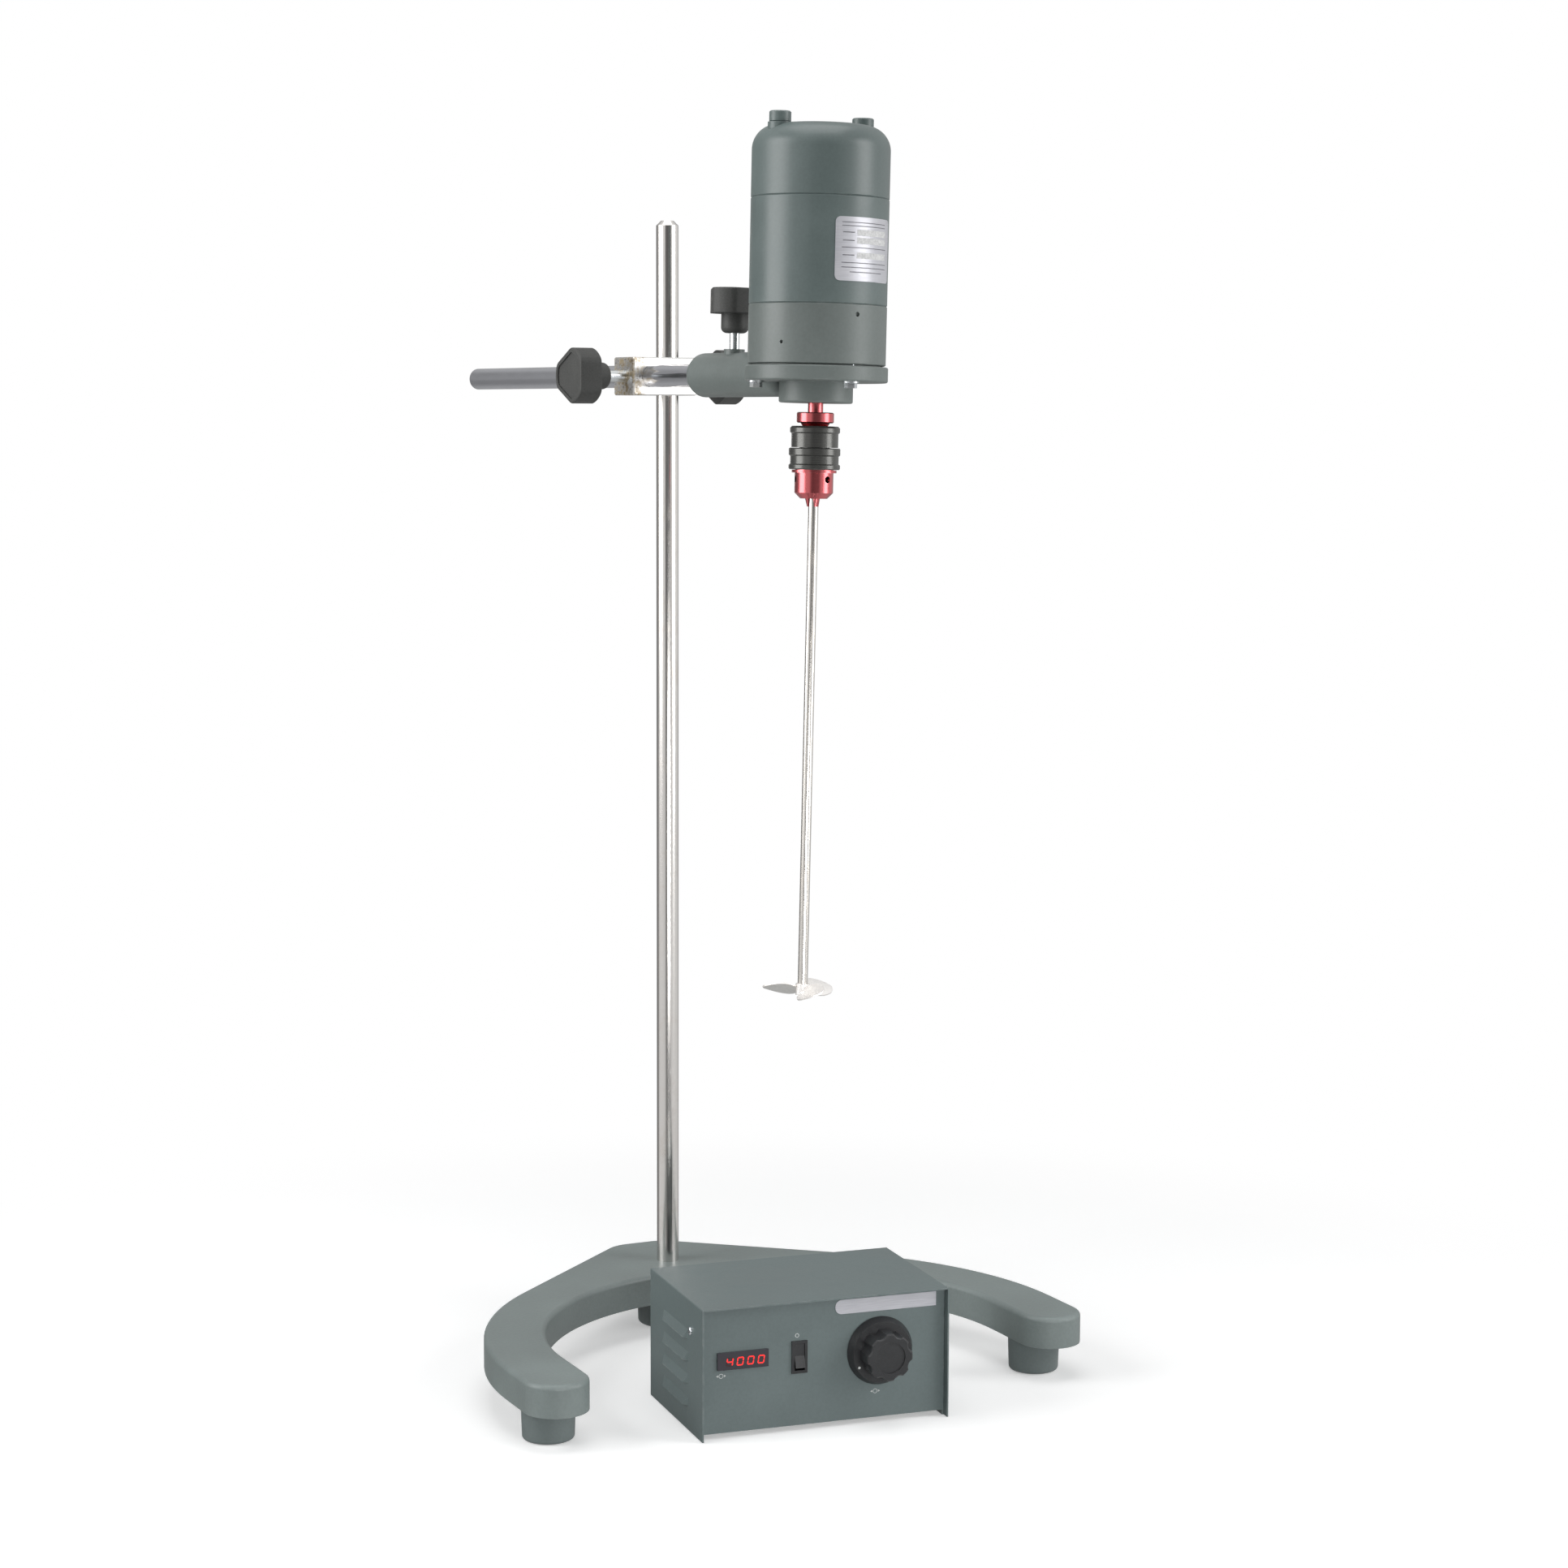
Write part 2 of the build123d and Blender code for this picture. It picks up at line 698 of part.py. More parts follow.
def end_turn(bottom, top):
    """A rounded ring of winding."""
    ring = tube_z(end_turn_radius, bearing_seat_radius, bottom, top)
    outer = ring.edges().filter_by(GeomType.CIRCLE).filter_by(lambda e: e.radius > bearing_seat_radius + 1)
    return fillet(outer, 3.0)


def armature_winding():
    """End turns on both faces of the stack."""
    core_top = field_bottom + field_height
    lower = end_turn(field_bottom - end_turn_height, field_bottom)
    upper = end_turn(core_top, core_top + end_turn_height)
    return [lower, upper]


def commutator():
    """Copper drum with shallow grooves between its bars."""
    commutator_top = commutator_bottom + commutator_height
    drum = tube_z(commutator_radius, bearing_seat_radius, commutator_bottom, commutator_top)
    groove = Box(1.6, 0.8, commutator_height + 2)
    place = Pos(commutator_radius, 0, commutator_bottom + commutator_height / 2)
    for placed in around(armature_slots, place * groove):
        drum -= placed
    return drum


def cooling_fan():
    """Radial fan below the armature: a hub, a disc and straight blades."""
    fan = tube_z(11, bearing_seat_radius, fan_bottom, fan_bottom + fan_blade_height)
    fan += tube_z(fan_radius, bearing_seat_radius, fan_bottom, fan_bottom + 1.5)
    blade = Box(fan_radius - 14, 1.5, fan_blade_height, align=(Align.MIN, Align.CENTER, Align.MIN))
    for placed in around(fan_blade_count, Pos(12, 0, fan_bottom) * blade):
        fan += placed
    return fan


brush_z = commutator_bottom + commutator_height / 2
brush_start = commutator_radius + contact_gap


def carbon_brushes():
    """Two carbon blocks facing the commutator along Y."""
    outwards = (Align.MIN, Align.CENTER, Align.CENTER)
    block = Box(brush_length, 2 * brush_half_width, 2 * brush_half_height, align=outwards)
    block = Pos(brush_start, 0, brush_z) * block
    return around(2, block, 90)


def brush_holders():
    """Brass boxes round the brushes."""
    inside = (2 * (brush_half_width + thread_clearance), 2 * (brush_half_height + thread_clearance))
    length = casing_bore - 3 - brush_start - 2
    start = (Align.MIN, Align.CENTER, Align.CENTER)
    outer = Box(length, inside[0] + 2 * brush_wall, inside[1] + 2 * brush_wall, align=start)
    tunnel = Pos(-1, 0, 0) * Box(length - 2, inside[0], inside[1], align=start)
    holder = Pos(brush_start + 2, 0, brush_z) * (outer - tunnel)
    return around(2, holder, 90)


def brush_ring():
    """Insulating ring inside the cover that carries the holders."""
    top = brush_z - brush_half_height - thread_clearance - brush_wall
    ring = tube_z(casing_bore - thread_clearance, brush_ring_inner_radius, top - brush_ring_thickness, top)
    for side in (-1, 1):
        ring -= Pos(side * tie_bolt_offset, 0, 0) * rod_z(tie_bolt_radius + 0.3, top - 10, top + 1)
    return ring


keep("bearing_outer_races", bearing_pair(bearing_radius, race_split), motor)
keep("bearing_inner_races", bearing_pair(inner_race_outside, bearing_seat_radius), motor)
keep("field_core", field_core(), motor)
keep("field_coils", field_coils(), motor)
keep("motor_shaft", motor_shaft(), motor)
keep("armature_core", armature_core(), motor)
keep("armature_winding", armature_winding(), motor)
keep("commutator", commutator(), motor)
keep("cooling_fan", cooling_fan(), motor)
keep("carbon_brushes", carbon_brushes(), motor)
keep("brush_holders", brush_holders(), motor)
keep("brush_ring", brush_ring(), motor)


# ---------------------------------------------------------------- chuck
def chuck_arbor():
    """Red arbor screwed on the motor shaft: neck, collar and the cone that meets the chuck."""
    arbor = turned(
        [
            (shaft_stub_radius, arbor_top),
            (arbor_neck_radius, arbor_top),
            (arbor_neck_radius, arbor_collar_top),
            (arbor_collar_radius - 0.8, arbor_collar_top),
            (arbor_collar_radius, arbor_collar_top - 0.8),
            (arbor_collar_radius, arbor_collar_bottom + 0.8),
            (arbor_collar_radius - 0.8, arbor_collar_bottom),
            (arbor_cone_radius + 1.5, arbor_collar_bottom),
            (arbor_cone_radius, arbor_cone_bottom),
            (shaft_stub_radius, arbor_cone_bottom),
        ]
    )
    return arbor


nose_ring_top = sleeve_bottom - 0.3
tan_jaw = math.tan(math.radians(jaw_angle))
grip_face = stirrer_radius + turn_clearance
jaw_axis_at_tip = grip_face + jaw_tip_wall - jaw_radius


def jaw_line(height):
    """Distance of a jaw's axis from the chuck's axis at a height."""
    return jaw_axis_at_tip + (height - jaw_tip) * tan_jaw


def jaw_bar(radius, bottom, top):
    """A slanting round bar along a jaw's line, its ends cut square to the chuck's axis."""
    middle = (bottom + top) / 2
    length = (top - bottom) / math.cos(math.radians(jaw_angle)) + 2 * nose_radius
    bar = Pos(jaw_line(middle), 0, middle) * Rot(0, jaw_angle, 0) * Cylinder(radius, length)
    wide = 8 * nose_radius
    span = Pos(0, 0, bottom) * Box(wide, wide, top - bottom, align=ON_FLOOR)
    return bar & span


def chuck_body():
    """Core and nose in one piece, bored for the stirring shaft and for the three slanting jaws."""
    body = turned(
        [
            (0, arbor_cone_bottom),
            (chuck_core_radius, arbor_cone_bottom),
            (chuck_core_radius, nose_top),
            (nose_radius, nose_top),
            (nose_radius, nose_ring_top),
            (nose_ring_radius, nose_ring_top),
            (nose_ring_radius, nose_ring_top - nose_ring_height),
            (nose_radius, nose_ring_top - nose_ring_height),
            (nose_radius, nose_bottom + nose_chamfer),
            (nose_radius - nose_chamfer, nose_bottom),
            (0, nose_bottom),
        ]
    )
    body -= rod_z(shaft_stub_radius + thread_clearance, shaft_stub_bottom, arbor_cone_bottom + 1)
    body -= rod_z(grip_face, nose_bottom - 1, stirrer_top + 1)
    bore = jaw_bar(jaw_radius + turn_clearance, nose_bottom - 2, jaw_top + jaw_travel + 0.5)
    for placed in around(jaw_count, bore, jaw_start_angle):
        body -= placed
    hole = Pos(0, 0, key_hole_height) * rod_x(key_hole_radius, nose_radius - 5, nose_radius + 1)
    for placed in around(jaw_count, hole, key_hole_start_angle):
        body -= placed
    return body


def jaw():
    """One hardened jaw: a slanting pin with its gripping face ground parallel to the shaft."""
    pin = jaw_bar(jaw_radius, jaw_tip, jaw_top)
    keep_out = Pos(grip_face, 0, jaw_tip - 5) * Box(60, 60, 80, align=(Align.MAX, Align.CENTER, Align.MIN))
    return pin - keep_out


def rear_grip():
    """Black rear grip pressed on the core, with a hollow band for the fingers."""
    middle = (arbor_cone_bottom + rear_grip_bottom) / 2
    return turned(
        [
            (chuck_core_radius, arbor_cone_bottom),
            (grip_radius - 1.5, arbor_cone_bottom),
            (grip_radius, arbor_cone_bottom - 1.5),
            (grip_radius, middle + 3.5),
            (grip_radius - grip_band_depth, middle + 2.5),
            (grip_radius - grip_band_depth, rear_grip_bottom),
            (chuck_core_radius, rear_grip_bottom),
        ]
    )


def chuck_sleeve():
    """Black sleeve that is turned to drive the jaws, hollow over their upper ends."""
    run_core = chuck_core_radius + turn_clearance
    run_nose = nose_radius + turn_clearance
    cavity = sleeve_radius - sleeve_wall
    middle = (sleeve_top + sleeve_bottom) / 2
    return turned(
        [
            (run_core, sleeve_top),
            (sleeve_radius - 0.8, sleeve_top),
            (sleeve_radius, sleeve_top - 0.8),
            (sleeve_radius, middle + 3.0),
            (sleeve_radius - grip_band_depth, middle + 2.0),
            (sleeve_radius - grip_band_depth, middle - 4.0),
            (sleeve_radius, middle - 5.0),
            (sleeve_radius, sleeve_bottom + 0.8),
            (sleeve_radius - 0.8, sleeve_bottom),
            (run_nose, sleeve_bottom),
            (run_nose, nose_top + turn_clearance),
            (cavity, nose_top + 1.0),
            (cavity, jaw_top + jaw_travel + 1.0),
            (run_core, jaw_top + jaw_travel + 1.0),
        ]
    )


keep("chuck_arbor", chuck_arbor(), motor)
keep("chuck_body", chuck_body(), motor)
keep("chuck_rear_grip", rear_grip(), motor)
keep("chuck_sleeve", chuck_sleeve(), motor)
for number, placed in enumerate(around(jaw_count, jaw(), jaw_start_angle), start=1):
    keep(f"chuck_jaw_{number}", placed, motor)


# ---------------------------------------------------------------- stirring shaft and propeller
def stirring_shaft():
    """Ground shaft with both ends chamfered."""
    bar = rod_z(stirrer_radius, stirrer_bottom, stirrer_top)
    return chamfer(bar.edges().filter_by(GeomType.CIRCLE), 0.6)


hub_bottom = stirrer_bottom + 1.0
blade_stations = ((0.15, 9.0, 36.0), (0.45, 22.0, 30.0), (0.75, 21.0, 24.0), (1.0, 5.0, 19.0))


def propeller_blade():
    """One blade lofted through slices that flatten in pitch towards the tip."""
    slices = []
    for share, chord, pitch in blade_stations:
        reach = share * propeller_radius
        place = Plane(origin=(reach, 0, 0), x_dir=(0, 1, 0), z_dir=(1, 0, 0))
        slices.append(place * Rot(0, 0, pitch) * Rectangle(chord, blade_thickness))
    return loft(slices)


def propeller():
    """Hub and three twisted blades."""
    middle = hub_bottom + propeller_hub_height / 2
    screw = Pos(0, 0, middle) * propeller_blade()
    hub_top = hub_bottom + propeller_hub_height
    solid = rod_z(propeller_hub_radius, hub_bottom, hub_top)
    for placed in around(blade_count, screw, blade_start_angle):
        solid += placed
    return solid - rod_z(stirrer_radius + thread_clearance, hub_bottom - 20, hub_top + 20)


keep("stirring_shaft", stirring_shaft(), motor)
keep("propeller", propeller(), motor)


# ---------------------------------------------------------------- speed regulator
front_y = -box_depth / 2
panel_y = front_y + panel_setback
back_panel_y = box_depth / 2 - panel_setback
chassis_half = box_width / 2 - sheet - cover_gap
chassis_top = box_height - sheet - cover_gap
wall_height = chassis_top - chassis_foot
TOWARDS_BACK = (Align.CENTER, Align.MIN, Align.MIN)


def louvre_wedge(stand, length, height, slope):
    """A wedge on the outside of the right-hand wall, sloping in at its top and at both ends."""
    wall = box_width / 2 - sheet / 2
    face = box_width / 2
    side_view = Polyline(
        (wall, 0, 0),
        (face + stand, 0, 0),
        (face, 0, height),
        (wall, 0, height),
        close=True,
    )
    top_view = Polyline(
        (wall, -length / 2),
        (face, -length / 2),
        (face + stand, slope - length / 2),
        (face + stand, length / 2 - slope),
        (face, length / 2),
        (wall, length / 2),
        close=True,
    )
    return extrude(make_face(side_view), length, both=True) & extrude(make_face(top_view), height)


def side_louvre():
    """A pressed louvre hood, open along its lower edge, and the slot behind it."""
    hood = louvre_wedge(louvre_stand, louvre_length, louvre_height + sheet, louvre_end_slope)
    inside = louvre_wedge(louvre_stand - sheet, louvre_length - 2 * sheet, louvre_height, louvre_end_slope)
    hood -= Pos(0, 0, -sheet / 2) * inside
    slot_length = louvre_length - 2 * louvre_end_slope
    slot = Pos(box_width / 2, 0, 0) * Box(3 * sheet, slot_length, louvre_height - sheet, align=ON_FLOOR)
    return hood, slot


louvre_middle = box_height / 2 - louvre_drop
louvre_places = [louvre_middle + (i - (louvre_count - 1) / 2) * louvre_pitch for i in range(louvre_count)]
cover_screw_y = panel_y + cover_screw_inset


def box_cover():
    """Folded sheet over top and sides, standing forward of the panel, with louvres in both sides."""
    cover = Box(box_width, box_depth, box_height, align=ON_FLOOR)
    cover -= Box(box_width - 2 * sheet, box_depth + 2, 2 * (box_height - sheet), align=(Align.CENTER,) * 3)
    folds = cover.edges().filter_by(Axis.Y).filter_by_position(Axis.Z, box_height - 0.1, box_height + 0.1)
    cover = fillet(folds, 1.0)
    hood, slot = side_louvre()
    for height in louvre_places:
        for turn in (0, 180):
            cover -= Rot(0, 0, turn) * Pos(0, 0, height) * slot
            cover += Rot(0, 0, turn) * Pos(0, 0, height) * hood
    for side in (-1, 1):
        place = Pos(side * box_width / 2, cover_screw_y, cover_screw_z)
        cover -= place * rod_x(cover_screw_radius + 0.2, -4, 4)
    return cover


def box_chassis():
    """Floor, front panel and rear wall folded from one sheet, with flanges for the cover screws."""
    floor = Pos(0, 0, chassis_foot) * Box(2 * chassis_half, back_panel_y - panel_y, sheet, align=ON_FLOOR)
    panel = Box(2 * chassis_half, sheet, wall_height, align=TOWARDS_BACK)
    front = Pos(0, panel_y, chassis_foot) * panel
    back = Pos(0, back_panel_y - sheet, chassis_foot) * panel
    chassis = floor + front + back
    for side in (-1, 1):
        flange_x = side * (chassis_half - sheet / 2)
        for start_y in (panel_y, back_panel_y - flange_width):
            place = Pos(flange_x, start_y, chassis_foot)
            chassis += place * Box(sheet, flange_width, wall_height, align=TOWARDS_BACK)
        skirt = Pos(flange_x, 0, 0)
        chassis += skirt * Box(sheet, back_panel_y - panel_y, chassis_foot + sheet, align=ON_FLOOR)
        screw_place = Pos(flange_x, cover_screw_y, cover_screw_z)
        chassis -= screw_place * rod_x(cover_screw_radius + thread_clearance, -4, 4)
    opening = (window_width - 2, 12, window_height - 2)
    chassis -= Pos(window_x, panel_y, window_z) * Box(*opening)
    chassis -= Pos(switch_x, panel_y, switch_z) * Box(switch_width - 2, 12, switch_height - 2)
    chassis -= Pos(dial_x, 0, dial_z) * rod_y(pot_bush_radius + thread_clearance, panel_y - 5, panel_y + 5)
    for x, radius in ((inlet_x, inlet_radius), (outlet_x, inlet_radius), (fuse_x, fuse_radius)):
        hole = rod_y(radius + thread_clearance, back_panel_y - 5, back_panel_y + 5)
        chassis -= Pos(x, 0, rear_row_z) * hole
    for x, y in board_posts + transformer_posts:
        chassis -= Pos(x, y, 0) * rod_z(1.5, 0, 2 * chassis_foot + 2)
    return chassis


floor_top = chassis_foot + sheet
board_hole_x = board_width / 2 - board_hole_inset
board_hole_y = board_depth / 2 - board_hole_inset
board_posts = [(board_x + i * board_hole_x, board_y + j * board_hole_y) for i in (-1, 1) for j in (-1, 1)]
transformer_posts = [(transformer_x + i * transformer_foot_reach, transformer_y) for i in (-1, 1)]


def cover_screws():
    """Pan-head screws through the cover into the chassis flanges."""
    shank = rod_x(cover_screw_radius, -4, 0)
    head = rod_x(3.2, 0, 1.8)
    head = fillet(head.edges().sort_by(Axis.X)[-1], 1.2)
    screw = shank + head
    right = Pos(box_width / 2, cover_screw_y, cover_screw_z) * screw
    left = Pos(-box_width / 2, cover_screw_y, cover_screw_z) * Rot(0, 0, 180) * screw
    return [right, left]


def display_window():
    """Tinted window set in a raised rim on the panel."""
    place = Pos(window_x, panel_y - window_thickness, window_z)
    return place * Box(window_width, window_thickness, window_height, align=BEHIND)


def display_module():
    """Four-digit display block on its own small board behind the window."""
    wall_back = panel_y + sheet
    card_front = wall_back + display_depth
    block = Box(window_width - 4, display_depth - display_gap, window_height - 1, align=BEHIND)
    solid = Pos(window_x, wall_back + display_gap, window_z) * block
    card = Box(
        window_width + 2 * card_margin,
        board_thickness,
        window_height + 2 * card_margin,
        align=BEHIND,
    )
    solid += Pos(window_x, card_front, window_z) * card
    post_x = window_width / 2 + card_margin - card_hole_inset
    post_z = window_height / 2 + card_margin - card_hole_inset
    for i in (-1, 1):
        for j in (-1, 1):
            place = Pos(window_x + i * post_x, 0, window_z + j * post_z)
            solid += place * rod_y(card_post_radius, wall_back, card_front)
    return solid


rocker_gap = 0.3
rocker_pivot_y = panel_y + 5.0


def switch_housing():
    """Snap-in housing with a bezel on the panel and a well for the rocker."""
    lip = 2 + 2 * thread_clearance
    bezel = Box(switch_width, switch_bezel, switch_height, align=BEHIND)
    body = Box(switch_width - lip, switch_depth, switch_height - lip, align=BEHIND)
    well_width = switch_width - switch_well_wall
    well_height = switch_height - switch_well_wall
    well = Box(well_width, switch_bezel + switch_well_depth, well_height, align=BEHIND)
    housing = Pos(0, -switch_bezel, 0) * bezel + body - Pos(0, -switch_bezel - 1, 0) * well
    return Pos(switch_x, panel_y, switch_z) * housing


def rocker_profile():
    """Side view of the rocker in Y and Z: a shallow V face over a round back."""
    half = (switch_height - switch_well_wall) / 2 - rocker_gap
    lift = half * math.tan(math.radians(rocker_tilt))
    back = rocker_pivot_y + 3.5
    face = panel_y - switch_bezel - 1.0
    return Polyline(
        (0, face, -half + 1.0),
        (0, face + lift * 0.9, 0),
        (0, face, half - 1.0),
        (0, face + 2.5, half - 0.6),
        (0, back, 4.5),
        (0, back, -4.5),
        (0, face + 2.5, -half + 0.6),
        close=True,
    )


def rocker():
    """Rocker pivoted in the housing, drawn tipped with its upper end pressed in."""
    width = switch_width - switch_well_wall - 2 * rocker_gap
    block = extrude(make_face(rocker_profile()), width / 2, both=True)
    tip = Pos(0, rocker_pivot_y, 0) * Rot(-rocker_tilt, 0, 0) * Pos(0, -rocker_pivot_y, 0)
    return Pos(switch_x, 0, switch_z) * tip * block


def potentiometer():
    """Round control behind the panel with a bush and nut through it."""
    nut_thickness = 2.0
    can = rod_y(pot_radius, panel_y + sheet, panel_y + sheet + pot_depth)
    bush = rod_y(pot_bush_radius, panel_y - nut_thickness - 0.5, panel_y + sheet)
    nut = Pos(0, panel_y, 0) * Rot(90, 0, 0) * extrude(RegularPolygon(7, 6), nut_thickness)
    solid = can + bush + nut
    solid -= rod_y(dial_shaft_radius + turn_clearance, panel_y - 10, panel_y + pot_depth - 3)
    return Pos(dial_x, 0, dial_z) * solid


dial_back_y = panel_y - 1.0
dial_front_y = dial_back_y - dial_skirt - dial_grip_height


def dial_shaft():
    """Spindle from the control into the knob."""
    return Pos(dial_x, 0, dial_z) * rod_y(dial_shaft_radius, dial_front_y + 5, panel_y + pot_depth - 4)


def speed_knob():
    """Skirted knob with a lobed grip, dished in front and hollow over the nut."""
    skirt = Cone(dial_radius, dial_radius - 3, dial_skirt, align=ON_FLOOR)
    plan = Circle(dial_grip_radius)
    flute = Pos(dial_grip_radius + 3.4, 0) * Circle(5.5)
    for placed in around(dial_lobes, flute, 22.5):
        plan -= placed
    grip = Pos(0, 0, dial_skirt) * extrude(plan, dial_grip_height, taper=2)
    grip = chamfer(grip.faces().sort_by(Axis.Z)[-1].outer_wire().edges(), 1.0)
    top = dial_skirt + dial_grip_height
    body = skirt + grip
    body -= Pos(0, 0, top - 1.2) * Cylinder(dial_grip_radius - 7, 3, align=ON_FLOOR)
    body -= rod_z(dial_shaft_radius + thread_clearance, -1, top - 4.9)
    body -= rod_z(9.0, -1, 3.5)
    return Pos(dial_x, dial_back_y, dial_z) * Rot(90, 0, 0) * body


def control_board():
    """Circuit board with its heat sink, capacitors and relay."""
    base = floor_top + board_lift
    board = Box(board_width, board_depth, board_thickness, align=ON_FLOOR)
    top = board_thickness
    board += Pos(-24, 16, top) * Cylinder(9, 26, align=ON_FLOOR)
    board += Pos(-2, 18, top) * Cylinder(6.5, 18, align=ON_FLOOR)
    board += Pos(22, 14, top) * Box(20, 16, 16, align=ON_FLOOR)
    for i in range(5):
        board += Pos(-30 + 7 * i, -18, top + 3) * Box(2, 18, 22, align=ON_FLOOR)
    board += Pos(-16, -18, top) * Box(32, 18, 4, align=ON_FLOOR)
    board = Pos(board_x, board_y, base) * board
    for x, y in board_posts:
        board -= Pos(x, y, 0) * rod_z(1.6, base - 1, base + board_thickness + 1)
    return board


def board_posts_node():
    """Four standoffs with the screws that hold the board and pass through the floor."""
    board_bottom = floor_top + board_lift
    board_top = board_bottom + board_thickness
    post = rod_z(board_post_radius, floor_top, board_bottom)
    post += rod_z(board_screw_radius, 1.0, board_top)
    post += rod_z(2.6, board_top, board_top + 1.8)
    return [Pos(x, y, 0) * post for x, y in board_posts]


def transformer():
    """Mains transformer: laminated core with its coil and two mounting feet."""
    core = Pos(0, 0, floor_top) * Box(50, 26, 42, align=ON_FLOOR)
    coil = Pos(0, 0, floor_top + 6) * Box(33, 42, 30, align=ON_FLOOR)
    coil = fillet(coil.edges().filter_by(Axis.Z), 5)
    feet = Pos(0, 0, floor_top) * Box(76, 14, 1.5, align=ON_FLOOR)
    solid = core + coil + feet
    for side in (-1, 1):
        solid -= Pos(side * transformer_foot_reach, 0, 0) * rod_z(1.6, floor_top - 1, floor_top + 3)
    return Pos(transformer_x, transformer_y, 0) * solid


def transformer_screws():
    """Two screws through the transformer's feet and the floor."""
    top = floor_top + 1.5
    screw = rod_z(1.4, chassis_foot - 2, top) + rod_z(2.8, top, top + 1.8)
    return [Pos(x, y, 0) * screw for x, y in transformer_posts]


def rear_fitting(radius, flange, length):
    """A round fitting through the rear wall, its flange outside."""
    solid = rod_y(radius, back_panel_y - 10, back_panel_y)
    return solid + rod_y(flange, back_panel_y, back_panel_y + length)


def cord_glands():
    """Two bushes in the rear wall, for the mains lead and the motor's lead."""
    gland = rear_fitting(inlet_radius, inlet_radius + 2.5, 5.5)
    gland -= rod_y(3.2, back_panel_y - 11, back_panel_y + 8)
    return [Pos(x, 0, rear_row_z) * gland for x in (inlet_x, outlet_x)]


def fuse_holder():
    """Panel fuse holder with a slotted cap."""
    holder = rear_fitting(fuse_radius, fuse_radius + 1.5, 6.0)
    holder += rod_y(fuse_radius - 1, back_panel_y - 26, back_panel_y - 10)
    holder -= Pos(0, back_panel_y + 6, 0) * Box(9, 2.5, 1.2)
    return Pos(fuse_x, 0, rear_row_z) * holder


keep("box_cover", box_cover(), box_place)
keep("box_chassis", box_chassis(), box_place)
keep("cover_screws", cover_screws(), box_place)
keep("display_window", display_window(), box_place)
keep("display_module", display_module(), box_place)
keep("switch_housing", switch_housing(), box_place)
keep("rocker", rocker(), box_place)
keep("potentiometer", potentiometer(), box_place)
keep("dial_shaft", dial_shaft(), box_place)
keep("speed_knob", speed_knob(), box_place)
keep("control_board", control_board(), box_place)
keep("board_posts", board_posts_node(), box_place)
keep("transformer", transformer(), box_place)
keep("transformer_screws", transformer_screws(), box_place)
keep("cord_glands", cord_glands(), box_place)
keep("fuse_holder", fuse_holder(), box_place)

# ---------------------------------------------------------------- write the parts
os.makedirs("parts", exist_ok=True)
for name, shape in nodes.items():
    export_step(shape, f"parts/{name}.step")
print(len(nodes), "nodes written")
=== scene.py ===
# %% [markdown]
# # An overhead stirrer, dressed
#
# The engineering model already holds every rigid piece at its real size. This notebook gives each
# piece its finish, adds the few thin things that are only surface (a name plate, a label strip, the
# lit digits, the printed marks), and sets a plain studio round it.
# The model is loaded first, because everything below takes its place from it.

# %% Load the frame
import bpy
import json
import math
from mathutils import Matrix, Vector

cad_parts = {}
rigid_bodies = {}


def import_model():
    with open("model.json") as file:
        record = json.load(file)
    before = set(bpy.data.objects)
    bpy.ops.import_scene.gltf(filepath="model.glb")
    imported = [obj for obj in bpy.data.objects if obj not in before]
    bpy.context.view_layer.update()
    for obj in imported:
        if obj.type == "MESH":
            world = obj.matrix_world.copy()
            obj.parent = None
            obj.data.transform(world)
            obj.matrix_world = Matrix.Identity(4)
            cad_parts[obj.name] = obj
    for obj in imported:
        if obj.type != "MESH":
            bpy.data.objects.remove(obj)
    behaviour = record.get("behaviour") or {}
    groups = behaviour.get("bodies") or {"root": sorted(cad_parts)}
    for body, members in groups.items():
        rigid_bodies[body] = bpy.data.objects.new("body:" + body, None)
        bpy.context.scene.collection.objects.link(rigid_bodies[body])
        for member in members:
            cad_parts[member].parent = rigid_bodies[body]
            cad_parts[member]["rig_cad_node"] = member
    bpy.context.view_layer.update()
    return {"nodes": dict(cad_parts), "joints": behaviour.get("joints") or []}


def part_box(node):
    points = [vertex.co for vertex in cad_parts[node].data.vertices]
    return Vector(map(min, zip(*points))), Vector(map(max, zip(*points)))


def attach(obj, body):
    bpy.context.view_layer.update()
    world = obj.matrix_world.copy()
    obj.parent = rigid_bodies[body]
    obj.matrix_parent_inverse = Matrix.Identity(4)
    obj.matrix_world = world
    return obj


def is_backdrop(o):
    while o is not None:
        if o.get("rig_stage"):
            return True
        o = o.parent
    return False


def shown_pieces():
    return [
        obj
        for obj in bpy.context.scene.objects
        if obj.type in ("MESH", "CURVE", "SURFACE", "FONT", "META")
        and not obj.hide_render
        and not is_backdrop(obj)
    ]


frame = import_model()

# %% [markdown]
# Three places are used again and again: the motor's axis, the turn of the cross rod, and the front
# panel of the regulator, which stands at a small turn on the bench. All are read from the frame, so
# they follow the model.

# %% Places read from the frame
mm = 0.001
joints = {joint["name"]: joint for joint in frame["joints"]}
spin = joints["rotor_spin"]
motor_lean = Vector((0, 0, 1)).rotation_difference(spin["axis"]).to_matrix().to_4x4()
motor_place = Matrix.Translation(spin["pos_m"]) @ motor_lean
motor_radius = 54 * mm
case_low, case_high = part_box("box_cover")
case_centre = (case_low + case_high) / 2
outward = Vector(joints["dial_turn"]["axis"])
dial_pin = Vector(joints["dial_turn"]["pos_m"])
dial_standoff = 1 * mm
panel_reach = (dial_pin - case_centre).dot(outward) - dial_standoff
case_turn = math.atan2(outward.x, -outward.y)
rod_axis = Vector(joints["cross_rod_slide"]["axis"])
head_turn = math.atan2(-rod_axis.x, -rod_axis.y)
